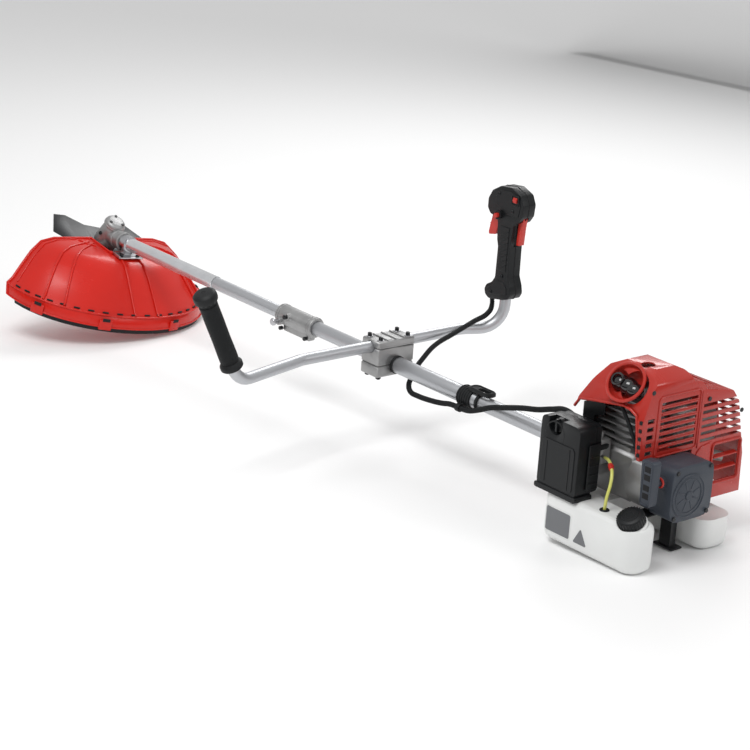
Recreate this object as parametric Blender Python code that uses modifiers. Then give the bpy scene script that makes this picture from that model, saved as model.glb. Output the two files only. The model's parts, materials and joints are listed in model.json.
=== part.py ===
"""Petrol brush mower: bent handlebar, split drive tube, three-tooth blade head and small two-stroke engine.

The machine is built along its drive tube: +X runs from the blade head to the engine, +Y is the
operator's right and +Z is up. An empty tips that frame so that the guard skirt and the engine
stand both touch the ground, and its origin ends up at the centre of the bounding box's bottom.
"""

import math

import bmesh
import bpy
from mathutils import Matrix, Vector

MM = 0.001
GAP = 0.3 * MM                  # between pieces that touch
RUNNING_GAP = 0.8 * MM          # between pieces that turn past each other

# Drive tube, measured along X from the middle of the handlebar clamp
GEAR_X = -930 * MM
LOWER_TUBE_START = -893 * MM
TUBE_JOINT = -250 * MM
UPPER_TUBE_END = 552 * MM
LOWER_TUBE_RADIUS = 13 * MM
UPPER_TUBE_RADIUS = 14 * MM
TUBE_WALL = 1.6 * MM
DRIVE_SHAFT_RADIUS = 4 * MM
COUPLER_LENGTH = 110 * MM
COUPLER_WALL = 6 * MM
SLEEVE_START = 49 * MM
SLEEVE_END = 285 * MM
SLEEVE_WALL = 1.8 * MM
HANGER_START = 237 * MM
HANGER_LENGTH = 34 * MM
HANGER_WALL = 3.4 * MM

# Blade head, in a frame whose Z is the blade spindle
SPINDLE_LEAN = math.radians(30)
HEAD_ROLL = math.radians(-8)
SPINDLE_RADIUS = 6 * MM
CASE_RADIUS = 23 * MM
CASE_TOP = 37 * MM
CASE_BOTTOM = -22 * MM
CASE_WALL = 4.5 * MM
SOCKET_RADIUS = 18.5 * MM
SOCKET_LENGTH = 62 * MM
BLADE_RADIUS = 127.5 * MM
BLADE_DROP = 36 * MM
BLADE_THICKNESS = 2.2 * MM
BLADE_BORE = 12.7 * MM
BLADE_ARM = 78 * MM
BLADE_TURN = math.radians(-13)
FLANGE_RADIUS = 25 * MM
PINION_TEETH = 14
GEAR_TEETH = 19

# Guard, in a frame of its own that leans less than the blade
GUARD_LEAN = math.radians(9)
GUARD_DEPTH = 187 * MM
GUARD_HALF_WIDTH = 240 * MM
GUARD_WALL = 3 * MM
GUARD_TOP = -14 * MM
GUARD_FRONT = -14 * MM          # the straight front edge, where it meets the top
GUARD_RAKE = 0.36               # how far the front edge runs back for each unit it drops
GUARD_PROFILE = [(30 * MM, GUARD_TOP), (100 * MM, GUARD_TOP - 1 * MM), (125 * MM, -22 * MM), (144 * MM, -42 * MM),
                 (161 * MM, -68 * MM), (178 * MM, -95 * MM), (GUARD_DEPTH, -104 * MM), (GUARD_DEPTH, -128 * MM)]
GUARD_NOTCH = Vector((66 * MM, 31 * MM))
SKIRT_TOP = -110 * MM
SKIRT_BOTTOM = -138 * MM
SKIRT_WALL = 4 * MM
SKIRT_RADIUS = GUARD_DEPTH - GUARD_WALL - 2 * GAP

# Handlebar
BAR_RADIUS = 11 * MM
BAR_X = 20 * MM
BAR_Z = 34 * MM
LEFT_BEND_Y = -205 * MM
LEFT_HAND = Vector((62 * MM, -379 * MM, BAR_Z))
LEFT_TOP = Vector((60 * MM, -456 * MM, 200 * MM))
RIGHT_BEND_Y = 185 * MM
RIGHT_HAND_X = 54 * MM
RIGHT_HAND_Y = 260 * MM
RIGHT_TUBE_TOP = 200 * MM
BEND_RADIUS = 48 * MM
GRIP_RADIUS = 16 * MM
GRIP_FLANGE_RADIUS = 21 * MM
GRIP_START = 64 * MM            # height of the left grip's lower rim
CLAMP_LENGTH = 50 * MM
CLAMP_WIDTH = 88 * MM
CLAMP_TOP = 48 * MM
CLAMP_BOTTOM = -22 * MM
BOLT_RADIUS = 2.5 * MM
BOLT_SPACING = Vector((32 * MM, 66 * MM))

# Throttle grip
THROTTLE_WIDTH = 32 * MM
TRIGGER_PIVOT = Vector((16 * MM, 262 * MM))
LEVER_PIVOT = Vector((84 * MM, 262 * MM))
TRIGGER_WIDTH = 11 * MM
SLOT_CLEARANCE = 0.7 * MM
SWITCH_AT = Vector((76 * MM, 295 * MM))
LOCK_AT = Vector((37 * MM, 258 * MM))
LOCK_RADIUS = 4.5 * MM

# Engine
CLUTCH_HOUSING_START = 528 * MM
CLUTCH_HOUSING_END = 598 * MM
CLUTCH_DRUM_RADIUS = 38 * MM
CRANKCASE_END = 702 * MM
FAN_RADIUS = 43 * MM
FAN_HOUSING_END = 744 * MM
CYLINDER_X = 652 * MM
CYLINDER_TOP = 150 * MM
CYLINDER_SIZE = 84 * MM
BORE_RADIUS = 20 * MM
STARTER_END = 795 * MM
STARTER_WALL = 3 * MM
STARTER_CENTRE = Vector((9 * MM, 4 * MM))
STARTER_SIZE = 98 * MM
REEL_RADIUS = 31 * MM
ROPE_Z = 24 * MM
ROPE_X = 772 * MM
ROPE_RADIUS = 1.8 * MM
COVER_WALL = 2.6 * MM
COVER_FRONT = 578 * MM
COVER_REAR = 737 * MM
CLEANER_FRONT = 564 * MM
CLEANER_REAR = 656 * MM
CLEANER_OUTER_Y = -122 * MM
CLEANER_INNER_Y = -68 * MM
CLEANER_TOP = 92 * MM
CLEANER_BOTTOM = -34 * MM
TANK_BRIDGE_TOP = -54 * MM
TANK_RIGHT_TOP = -66 * MM
CLEANER_WALL = 2.5 * MM
CLEANER_SPLIT_Y = -84 * MM
TANK_FRONT = 578 * MM
TANK_REAR = 797 * MM
TANK_TOP = -37 * MM
TANK_BOTTOM = -121.5 * MM
TANK_WALL = 2.5 * MM
CAP_RADIUS = 23 * MM
CAP_AT = Vector((768 * MM, -97 * MM, -38 * MM))
CAP_TILT = math.radians(28)
STAND_DROP = 122 * MM

SIDES = 14                      # facets of a small round piece
COLOURS = {
    "red_cover": ((0.42, 0.035, 0.022), 0.28, 0.0),
    "red_guard": ((0.62, 0.03, 0.02), 0.25, 0.0),
    "red_button": ((0.55, 0.02, 0.015), 0.3, 0.0),
    "black_plastic": ((0.02, 0.022, 0.026), 0.5, 0.0),
    "grey_plastic": ((0.07, 0.08, 0.1), 0.45, 0.0),
    "black_steel": ((0.02, 0.02, 0.022), 0.35, 0.6),
    "bright_tube": ((0.75, 0.76, 0.78), 0.25, 0.9),
    "cast_aluminium": ((0.5, 0.5, 0.5), 0.5, 0.9),
    "steel": ((0.55, 0.55, 0.56), 0.3, 1.0),
    "tank_plastic": ((0.8, 0.81, 0.8), 0.4, 0.0),
    "rubber": ((0.015, 0.015, 0.016), 0.7, 0.0),
    "fuel_hose": ((0.62, 0.62, 0.12), 0.35, 0.0),
}


# ---------------------------------------------------------------- helpers

def clear_scene():
    for obj in list(bpy.data.objects):
        bpy.data.objects.remove(obj, do_unlink=True)


def new_collection(name, hidden=False):
    collection = bpy.data.collections.new(name)
    bpy.context.scene.collection.children.link(collection)
    collection.hide_render = hidden
    return collection


def material(name):
    found = bpy.data.materials.get(name)
    if found:
        return found
    colour, roughness, metallic = COLOURS[name]
    made = bpy.data.materials.new(name)
    made.use_nodes = True
    shader = made.node_tree.nodes["Principled BSDF"]
    shader.inputs["Base Color"].default_value = (*colour, 1.0)
    shader.inputs["Roughness"].default_value = roughness
    shader.inputs["Metallic"].default_value = metallic
    return made


def empty(name, parent, place=(0, 0, 0), turn=(0, 0, 0)):
    obj = bpy.data.objects.new(name, None)
    PARTS.objects.link(obj)
    obj.parent = parent
    obj.location = place
    obj.rotation_euler = turn
    obj.empty_display_size = 0.03
    return obj


def add_object(name, mesh, finish, parent, place=(0, 0, 0), turn=(0, 0, 0)):
    """A part when finish names a material, and a hidden cutter when finish is None."""
    obj = bpy.data.objects.new(name, mesh)
    obj.parent = parent
    obj.location = place
    obj.rotation_euler = turn
    if finish is None:
        CUTTERS.objects.link(obj)
        obj.hide_render = True
        obj.display_type = "WIRE"
    else:
        PARTS.objects.link(obj)
        mesh.materials.append(material(finish))
    return obj


def smooth(obj, degrees=35):
    obj.data.shade_smooth()
    obj.data.set_sharp_from_angle(angle=math.radians(degrees))
    return obj


def mesh_from(builder, name, closed=True):
    work = bmesh.new()
    builder(work)
    if closed:
        bmesh.ops.recalc_face_normals(work, faces=work.faces)
    mesh = bpy.data.meshes.new(name)
    work.to_mesh(mesh)
    work.free()
    return mesh


def box(name, low, high, finish, parent, bevel=0.0, segments=1):
    """A block between two corners, with its origin at its middle."""
    low, high = Vector(low), Vector(high)
    size = high - low

    def build(work):
        bmesh.ops.create_cube(work, size=1.0, matrix=Matrix.Diagonal((*size, 1.0)))

    obj = add_object(name, mesh_from(build, name), finish, parent, (low + high) / 2)
    if bevel:
        add_bevel(obj, bevel, segments)
    return obj


def add_bevel(obj, width, segments=1, degrees=40):
    bevel = obj.modifiers.new("Bevel", "BEVEL")
    bevel.width = width
    bevel.segments = segments
    bevel.limit_method = "ANGLE"
    bevel.angle_limit = math.radians(degrees)
    return obj


def rod(name, radius, start, end, finish, parent, sides=SIDES, end_radius=None):
    """A cylinder or cone between two points, with its origin at the first."""
    start, end = Vector(start), Vector(end)
    length = (end - start).length
    top = radius if end_radius is None else end_radius

    def build(work):
        bmesh.ops.create_cone(work, cap_ends=True, segments=sides, radius1=radius, radius2=top,
                              depth=length, matrix=Matrix.Translation((0, 0, length / 2)))

    obj = add_object(name, mesh_from(build, name), finish, parent, start)
    obj.rotation_mode = "QUATERNION"
    obj.rotation_quaternion = (end - start).to_track_quat("Z", "Y")
    return smooth(obj)


def turned(name, profile, finish, parent, place=(0, 0, 0), axis="Z", sides=SIDES, closed=False):
    """A lathe profile of (radius, height) points, outer side top to bottom, turned about the axis."""
    mesh = bpy.data.meshes.new(name)
    edges = [(i, i + 1) for i in range(len(profile) - 1)]
    if closed:
        edges.append((len(profile) - 1, 0))
    mesh.from_pydata([(r, 0, z) for r, z in profile], edges, [])
    obj = add_object(name, mesh, finish, parent, place, AXIS_TURN[axis])
    screw = obj.modifiers.new("Screw", "SCREW")
    screw.steps = sides
    screw.render_steps = sides
    screw.use_merge_vertices = True
    screw.merge_threshold = 0.00001
    screw.use_smooth_shade = True
    return obj


AXIS_TURN = {
    "Z": (0, 0, 0),
    "X": (0, math.pi / 2, 0),
    "-X": (0, -math.pi / 2, 0),
    "-Y": (math.pi / 2, 0, 0),
    "Y": (-math.pi / 2, 0, 0),
}


def ring_profile(outer, inner, low, high):
    return [(outer, high), (outer, low), (inner, low), (inner, high)]


def pipe(name, outer, inner, start_x, end_x, finish, parent, sides=SIDES):
    """A hollow tube along X."""
    profile = ring_profile(outer, inner, 0, end_x - start_x)
    return turned(name, profile, finish, parent, (start_x, 0, 0), "X", sides, closed=True)


def prism(name, outline, low, high, finish, parent, plane="XZ", bevel=0.0, segments=1):
    """A flat outline filled and extruded between two positions along the plane's normal."""
    curve = bpy.data.curves.new(name, "CURVE")
    curve.dimensions = "2D"
    curve.fill_mode = "BOTH"
    curve.extrude = (high - low) / 2
    spline = curve.splines.new("POLY")
    spline.points.add(len(outline) - 1)
    for point, (u, v) in zip(spline.points, outline):
        point.co = (u, v, 0, 1)
    spline.use_cyclic_u = True
    obj = add_object(name, curve, finish, parent)
    middle = (low + high) / 2
    if plane == "XZ":
        obj.rotation_euler = (math.pi / 2, 0, 0)
        obj.location = (0, middle, 0)
    elif plane == "YZ":
        obj.rotation_euler = (math.pi / 2, 0, math.pi / 2)
        obj.location = (middle, 0, 0)
    else:
        obj.location = (0, 0, middle)
    made = to_mesh(obj)
    if bevel:
        add_bevel(made, bevel, segments)
    return made


def to_mesh(obj):
    """Replaces a curve object by the welded mesh of its evaluated shape."""
    bpy.context.view_layer.update()
    graph = bpy.context.evaluated_depsgraph_get()
    mesh = bpy.data.meshes.new_from_object(obj.evaluated_get(graph))
    work = bmesh.new()
    work.from_mesh(mesh)
    bmesh.ops.remove_doubles(work, verts=work.verts, dist=0.00001)
    bmesh.ops.recalc_face_normals(work, faces=work.faces)
    work.to_mesh(mesh)
    work.free()
    name, parent, cutter = obj.name, obj.parent, obj.hide_render
    made = bpy.data.objects.new(name + "_mesh", mesh)
    (CUTTERS if cutter else PARTS).objects.link(made)
    made.parent = parent
    made.matrix_basis = obj.matrix_basis.copy()
    made.hide_render = cutter
    made.display_type = "WIRE" if cutter else "TEXTURED"
    bpy.data.objects.remove(obj, do_unlink=True)
    made.name = name
    return made


def wire(name, points, radius, finish, parent, resolution=2):
    """A round wire, tube or cord through the points, with filled ends."""
    curve = bpy.data.curves.new(name, "CURVE")
    curve.dimensions = "3D"
    curve.bevel_depth = radius
    curve.bevel_resolution = resolution
    curve.use_fill_caps = True
    spline = curve.splines.new("POLY")
    spline.points.add(len(points) - 1)
    for point, place in zip(spline.points, points):
        point.co = (*place, 1)
    return smooth(to_mesh(add_object(name, curve, finish, parent)))


def combine(target, other, operation):
    modifier = target.modifiers.new(operation.title(), "BOOLEAN")
    modifier.object = other
    modifier.operation = operation
    modifier.solver = "EXACT"
    return target


def cut(target, *cutters):
    for cutter in cutters:
        combine(target, cutter, "DIFFERENCE")
    return target


def join(target, *others):
    for other in others:
        combine(target, other, "UNION")
    return target


def arc(centre, radius, start, end, steps):
    """Points on an arc, angles in degrees."""
    points = []
    for i in range(steps + 1):
        angle = math.radians(start + (end - start) * i / steps)
        points.append((centre[0] + radius * math.cos(angle), centre[1] + radius * math.sin(angle)))
    return points


def rounded(outline, radius, steps=3):
    """The outline with each corner replaced by an arc that touches both its edges."""
    points = []
    for i, corner in enumerate(outline):
        corner = Vector(corner)
        before = Vector(outline[i - 1]) - corner
        after = Vector(outline[(i + 1) % len(outline)]) - corner
        half = before.angle(after) / 2
        reach = min(radius / math.tan(half), 0.45 * before.length, 0.45 * after.length)
        start = corner + before.normalized() * reach
        end = corner + after.normalized() * reach
        for k in range(steps + 1):
            t = k / steps
            points.append(tuple((1 - t) ** 2 * start + 2 * t * (1 - t) * corner + t ** 2 * end))
    return points


def rectangle(low, high):
    return [(low[0], low[1]), (high[0], low[1]), (high[0], high[1]), (low[0], high[1])]


def bent(corners, radius, step=math.radians(12)):
    """A tube's path: straight runs between the corners, with an arc at each one."""
    points = [Vector(corners[0])]
    for before, corner, after in zip(corners, corners[1:], corners[2:]):
        into = (Vector(corner) - Vector(before)).normalized()
        out = (Vector(after) - Vector(corner)).normalized()
        turn = into.angle(out)
        reach = radius * math.tan(turn / 2)
        normal = (out - into * into.dot(out)).normalized()
        start = Vector(corner) - into * reach
        steps = max(2, round(turn / step))
        for k in range(steps + 1):
            angle = turn * k / steps
            points.append(start + into * radius * math.sin(angle) + normal * radius * (1 - math.cos(angle)))
    points.append(Vector(corners[-1]))
    return points


def smooth_path(route, spacing):
    """Points at an even spacing on a smooth curve through the route's own points."""
    route = [Vector(point) for point in route]
    ends = [2 * route[0] - route[1]] + route + [2 * route[-1] - route[-2]]
    fine = []
    for a, b, c, d in zip(ends, ends[1:], ends[2:], ends[3:]):
        for k in range(20):
            t = k / 20
            fine.append(0.5 * (2 * b + (c - a) * t + (2 * a - 5 * b + 4 * c - d) * t ** 2
                               + (3 * b - 3 * c + d - a) * t ** 3))
    fine.append(route[-1])
    points = [fine[0]]
    for point in fine:
        if (point - points[-1]).length >= spacing:
            points.append(point)
    points[-1] = fine[-1]
    return points


# ---------------------------------------------------------------- drive tube

def drive_tube(machine):
    lower = pipe("lower_tube", LOWER_TUBE_RADIUS, LOWER_TUBE_RADIUS - TUBE_WALL, LOWER_TUBE_START,
                 TUBE_JOINT - GAP, "bright_tube", machine)
    pin_hole = rod("pin_hole", PIN_RADIUS + RUNNING_GAP, (PIN_X, -LOWER_TUBE_RADIUS * 2, PIN_Z),
                   (PIN_X, -PIN_DEPTH / 2, PIN_Z), None, machine, 10)
    cut(lower, pin_hole)
    pipe("upper_tube", UPPER_TUBE_RADIUS, UPPER_TUBE_RADIUS - TUBE_WALL, TUBE_JOINT + GAP,
         UPPER_TUBE_END, "bright_tube", machine)
    pipe("shaft_sleeve", UPPER_TUBE_RADIUS + SLEEVE_WALL, UPPER_TUBE_RADIUS + GAP, SLEEVE_START,
         SLEEVE_END, "bright_tube", machine)


PIN_X = -262 * MM
PIN_Z = 8 * MM
PIN_RADIUS = 2.5 * MM
PIN_DEPTH = 8.6 * MM            # how near the tube's axis the pin's tip reaches
KNOB_X = -286 * MM
KNOB_Z = -7 * MM
KNOB_SHANK = 3 * MM


def coupler(machine):
    start = TUBE_JOINT - COUPLER_LENGTH / 2
    end = TUBE_JOINT + COUPLER_LENGTH / 2
    radius = UPPER_TUBE_RADIUS + COUPLER_WALL
    body = rod("coupler", radius, (start, 0, 0), (end, 0, 0), "cast_aluminium", machine, 22)
    add_bevel(body, 2 * MM)
    lug = box("coupler_lug", (start + 14 * MM, -9 * MM, -radius - 10 * MM),
              (end - 12 * MM, 9 * MM, -radius / 2), None, machine, 3 * MM)
    knob_boss = rod("knob_boss", 8 * MM, (KNOB_X, 0, KNOB_Z), (KNOB_X, -radius - 6 * MM, KNOB_Z), None,
                    machine)
    pin_boss = rod("pin_boss", 6 * MM, (PIN_X, 0, PIN_Z), (PIN_X, -radius - 4 * MM, PIN_Z), None, machine)
    join(body, lug, knob_boss, pin_boss)
    lower_bore = rod("lower_bore", LOWER_TUBE_RADIUS + GAP, (start - radius, 0, 0), (TUBE_JOINT, 0, 0),
                     None,
                     machine, 22)
    upper_bore = rod("upper_bore", UPPER_TUBE_RADIUS + GAP, (TUBE_JOINT - GAP, 0, 0),
                     (end + radius, 0, 0),
                     None, machine, 22)
    knob_bore = rod("knob_bore", KNOB_SHANK + GAP, (KNOB_X, -8 * MM, KNOB_Z), (KNOB_X, -40 * MM, KNOB_Z),
                    None, machine, 12)
    pin_bore = rod("pin_bore", PIN_RADIUS + GAP, (PIN_X, -5 * MM, PIN_Z), (PIN_X, -40 * MM, PIN_Z), None,
                   machine, 12)
    cut(body, lower_bore, upper_bore, knob_bore, pin_bore)
    face = radius + 6 * MM
    tip = math.sqrt(LOWER_TUBE_RADIUS ** 2 - (abs(KNOB_Z) - KNOB_SHANK) ** 2) + GAP
    knob_profile = [(0, face + 15 * MM), (6 * MM, face + 15 * MM), (7.5 * MM, face + 13 * MM),
                    (7.5 * MM, face + 9 * MM), (4.5 * MM, face + 7 * MM), (4.5 * MM, face + GAP),
                    (KNOB_SHANK, face + GAP), (KNOB_SHANK, tip), (0, tip)]
    turned("coupler_knob", knob_profile, "steel", machine, (KNOB_X, 0, KNOB_Z), "-Y", 12)
    face = radius + 4 * MM
    pin_profile = [(0, face + 7 * MM), (4.6 * MM, face + 6 * MM), (4.6 * MM, face + GAP),
                   (PIN_RADIUS, face + GAP),
                   (PIN_RADIUS, PIN_DEPTH), (0, PIN_DEPTH)]
    turned("coupler_pin", pin_profile, "black_steel", machine, (PIN_X, 0, PIN_Z), "-Y", 12)


CLIP_AT = Vector((255 * MM, -25 * MM, -15 * MM))
CONDUIT_RADIUS = 4.5 * MM


def hanger_band(machine):
    inner = UPPER_TUBE_RADIUS + SLEEVE_WALL + GAP
    outer = inner + HANGER_WALL
    end = HANGER_START + HANGER_LENGTH
    band = rod("hanger_band", outer, (HANGER_START, 0, 0), (end, 0, 0), "rubber", machine, 20)
    add_bevel(band, 1 * MM)
    loop = prism("hanger_loop", rounded(rectangle((end - 14 * MM, -12 * MM), (end + 44 * MM, 12 * MM)),
                                        11 * MM, 4),
                 outer - 1.5 * MM, outer + 4.5 * MM, None, machine, "XY")
    eye = prism("hanger_eye", rounded(rectangle((end + 8 * MM, -6 * MM), (end + 36 * MM, 6 * MM)),
                                      5.5 * MM, 4),
                0, outer + 20 * MM, None, machine, "XY")
    clip = rod("conduit_clip", CONDUIT_RADIUS + 3 * MM, CLIP_AT - Vector((5 * MM, 0, 0)),
               CLIP_AT + Vector((5 * MM, 0, 0)), None, machine, 12)
    web = rod("clip_web", 3.5 * MM, (CLIP_AT.x, 0, 0), CLIP_AT, None, machine, 10)
    join(band, loop, clip, web)
    bore = rod("band_bore", inner, (HANGER_START - 0.02, 0, 0), (end + 0.02, 0, 0), None, machine, 20)
    slot = rod("clip_bore", CONDUIT_RADIUS + 1.1 * MM, CLIP_AT - Vector((0.02, 0, 0)),
               CLIP_AT + Vector((0.02, 0, 0)), None, machine, 12)
    cut(band, eye, bore, slot)


# ---------------------------------------------------------------- blade head

def bevel_gear(name, teeth, half_angle, far, near, bore, finish, parent, axis):
    """A toothed cone frustum whose apex is the parent's origin."""
    outer, inner = far * math.sin(half_angle), near * math.sin(half_angle)
    high, low = far * math.cos(half_angle), near * math.cos(half_angle)

    def build(work):
        bmesh.ops.create_cone(work, cap_ends=True, segments=teeth * 4, radius1=inner, radius2=outer,
                              depth=high - low, matrix=Matrix.Translation((0, 0, (high + low) / 2)))
        for vert in work.verts:
            angle = math.atan2(vert.co.y, vert.co.x)
            step = round(angle / (math.tau / (teeth * 4))) % 4
            if step in (2, 3):
                vert.co.x *= 0.86
                vert.co.y *= 0.86

    gear = add_object(name, mesh_from(build, name), finish, parent, (0, 0, 0), AXIS_TURN[axis])
    hole = rod(name + "_bore", bore, (0, 0, low - 0.01), (0, 0, high + 0.01), None, gear, 14)
    return cut(gear, hole)


def gear_case(head):
    along = Vector((math.cos(SPINDLE_LEAN), 0, math.sin(SPINDLE_LEAN)))
    dome = [(0, CASE_TOP), (9 * MM, CASE_TOP), (16 * MM, CASE_TOP - 2 * MM), (20 * MM, CASE_TOP - 6 * MM),
            (CASE_RADIUS, CASE_TOP - 22 * MM), (CASE_RADIUS + 3 * MM, CASE_BOTTOM + 12 * MM),
            (CASE_RADIUS + 3 * MM, CASE_BOTTOM), (0, CASE_BOTTOM)]
    case = turned("gear_case", dome, "cast_aluminium", head, sides=22)
    socket = rod("case_socket", SOCKET_RADIUS, (0, 0, 0), along * SOCKET_LENGTH, None, head, 20)
    join(case, socket)
    inside = CASE_RADIUS - CASE_WALL
    hollow = turned("case_hollow", [(0, CASE_TOP - 6 * MM), (10 * MM, CASE_TOP - 6 * MM),
                                    (inside - 1 * MM, CASE_TOP - 14 * MM),
                                    (inside, CASE_TOP - 22 * MM), (inside, CASE_BOTTOM + 9 * MM),
                                    (0, CASE_BOTTOM + 9 * MM)], None, head, sides=20)
    tube_start = LOWER_TUBE_START - GEAR_X
    tube_bore = rod("case_tube_bore", LOWER_TUBE_RADIUS + GAP, along * (tube_start - GAP),
                    along * (SOCKET_LENGTH + 0.02),
                    None, head, 20)
    drive_bore = rod("case_drive_bore", LOWER_TUBE_RADIUS - 2 * MM, along * 6 * MM,
                     along * (tube_start + 1 * MM), None,
                     head, 18)
    bearing_seat = rod("bearing_seat", BEARING_RADIUS + GAP, (0, 0, CASE_BOTTOM - 0.01),
                       (0, 0, CASE_BOTTOM + 9.5 * MM), None, head, 18)
    cut(case, hollow, tube_bore, drive_bore, bearing_seat)



BEARING_RADIUS = 13 * MM
BLADE_TOP = -BLADE_DROP + BLADE_THICKNESS / 2
BLADE_UNDER = -BLADE_DROP - BLADE_THICKNESS / 2
CUP_DEPTH = 9 * MM
NUT_DEPTH = 8 * MM


def spindle_parts(head):
    """Everything on the blade spindle, from the bearing down to the nut."""
    hole = SPINDLE_RADIUS + GAP
    bearing = [(BEARING_RADIUS, CASE_BOTTOM + 9 * MM), (BEARING_RADIUS, CASE_BOTTOM),
               (hole, CASE_BOTTOM), (hole, CASE_BOTTOM + 9 * MM)]
    turned("spindle_bearing", bearing, "steel", head, closed=True)
    spin = empty("blade_axis", head, (0, 0, 0), (0, 0, BLADE_TURN))
    lowest = BLADE_UNDER - CUP_DEPTH - NUT_DEPTH - 3 * MM
    turned("blade_spindle", [(0, 28 * MM), (SPINDLE_RADIUS, 28 * MM), (SPINDLE_RADIUS, lowest + 1 * MM),
                             (SPINDLE_RADIUS - 1 * MM, lowest), (0, lowest)], "steel", spin)
    bevel_gear("driven_gear", GEAR_TEETH, math.radians(33.5), 25 * MM, 17 * MM, hole, "steel", spin, "Z")
    top = CASE_BOTTOM - RUNNING_GAP
    boss = BLADE_BORE - GAP
    turned("holder_flange", [(12 * MM, top), (FLANGE_RADIUS, top - 5 * MM),
                             (FLANGE_RADIUS, BLADE_TOP + GAP),
                             (boss, BLADE_TOP + GAP), (boss, BLADE_UNDER), (hole, BLADE_UNDER), (hole,
                                                                                                 top)],
           "steel", spin, closed=True, sides=20)
    blade(spin)
    under = BLADE_UNDER - GAP
    turned("clamping_cup", [(FLANGE_RADIUS, under), (FLANGE_RADIUS, under - 2.5 * MM),
                            (17 * MM, under - CUP_DEPTH), (hole, under - CUP_DEPTH), (hole, under)],
           "steel", spin, closed=True, sides=20)
    nut_top = under - CUP_DEPTH - GAP
    nut = rod("blade_nut", 9.5 * MM, (0, 0, nut_top), (0, 0, nut_top - NUT_DEPTH), "black_steel", spin, 6)
    cut(nut, rod("nut_bore", hole, (0, 0, nut_top - 0.02), (0, 0, nut_top + 0.02), None, spin, 14))


def blade(spin):
    """Three broad arms, each with a slanted tip."""
    half = BLADE_ARM / 2
    arm = [(58 * MM, -half), (104 * MM, -half * 0.92),
           (math.sqrt(BLADE_RADIUS ** 2 - (half * 0.5) ** 2), -half * 0.5),
           (108 * MM, half * 0.95), (58 * MM, half)]
    outline = []
    for k in range(3):
        turn = Matrix.Rotation(k * math.tau / 3, 2)
        outline += [tuple(turn @ Vector(point)) for point in arm]
    plate = prism("blade", outline, BLADE_UNDER, BLADE_TOP, "black_steel", spin, "XY")
    cut(plate, rod("blade_bore", BLADE_BORE, (0, 0, BLADE_UNDER - 0.01), (0, 0, BLADE_TOP + 0.01), None,
                   spin, 20))


def drive_line(machine):
    """Drive shaft with its pinion at the head and the clutch drum at the engine."""
    head_spin = empty("shaft_axis", machine, (GEAR_X, 0, 0))
    near = 15 * MM
    rod("drive_shaft", DRIVE_SHAFT_RADIUS, (near, 0, 0), (DRUM_START + 3 * MM - GEAR_X, 0, 0), "steel",
        head_spin, 12)
    bevel_gear("pinion_gear", PINION_TEETH, math.radians(23.5), 25 * MM, 17 * MM,
               DRIVE_SHAFT_RADIUS + GAP, "steel",
               head_spin, "X")
    hole = DRIVE_SHAFT_RADIUS + GAP
    wall = 2 * MM
    turned("clutch_drum", [(CLUTCH_DRUM_RADIUS, DRUM_END), (CLUTCH_DRUM_RADIUS, DRUM_START),
                           (hole, DRUM_START),
                           (hole, DRUM_START + wall), (CLUTCH_DRUM_RADIUS - wall, DRUM_START + wall),
                           (CLUTCH_DRUM_RADIUS - wall, DRUM_END)],
           "steel", head_spin, (-GEAR_X, 0, 0), "X", 20, closed=True)


DRUM_START = 569 * MM
DRUM_END = 592 * MM


def rim_place(radius, height, angle):
    """A place on the guard: its profile point carried round behind the straight, raked front edge."""
    front = GUARD_FRONT + GUARD_RAKE * (GUARD_TOP - height)
    across = radius * math.sin(angle) * GUARD_HALF_WIDTH / GUARD_DEPTH
    return Vector((front + radius * math.cos(angle), across, height))


def swept_shell(name, profile, wall, finish, parent, half_turn, steps=24):
    """A (radius, height) profile swept round behind the front edge, wider across than it is deep."""
    columns = len(profile)

    def build(work):
        bmesh.ops.create_grid(work, x_segments=steps, y_segments=columns - 1, size=1.0)
        for vert in work.verts:
            radius, height = profile[round((vert.co.y + 1) / 2 * (columns - 1))]
            vert.co = rim_place(radius, height, vert.co.x * half_turn)
        work.normal_update()
        if sum(face.normal.dot(face.calc_center_median() + Vector((0, 0, 0.2))) for face in work.faces) < 0:
            bmesh.ops.reverse_faces(work, faces=work.faces)

    obj = add_object(name, mesh_from(build, name, closed=False), finish, parent)
    shell = obj.modifiers.new("Wall", "SOLIDIFY")
    shell.thickness = wall
    shell.offset = -1.0
    shell.use_even_offset = True
    return obj


def guard(frame):
    dome = swept_shell("guard", GUARD_PROFILE, GUARD_WALL, "red_guard", frame, math.pi / 2)
    notch = box("guard_notch", (-0.05, -GUARD_NOTCH.y, -0.06), (GUARD_NOTCH.x, GUARD_NOTCH.y, 0.05), None, frame)
    screw_holes = [rod(f"guard_hole_{side}", SCREW_RADIUS + GAP, (SCREW_A, side * SCREW_B, -0.04),
                       (SCREW_A, side * SCREW_B, 0.04), None, frame, 12) for side in (-1, 1)]
    cut(dome, notch, *screw_holes)
    skirt = [(SKIRT_RADIUS, SKIRT_TOP), (SKIRT_RADIUS, GUARD_PROFILE[-1][1]), (SKIRT_RADIUS - 1 * MM, SKIRT_BOTTOM)]
    swept_shell("guard_skirt", skirt, SKIRT_WALL, "rubber", frame, math.radians(84))


SCREW_RADIUS = 2.5 * MM
SCREW_A = 90 * MM
SCREW_B = 21 * MM
PLATE_LOW = GUARD_TOP + GAP
PLATE_HIGH = PLATE_LOW + 3 * MM


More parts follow.
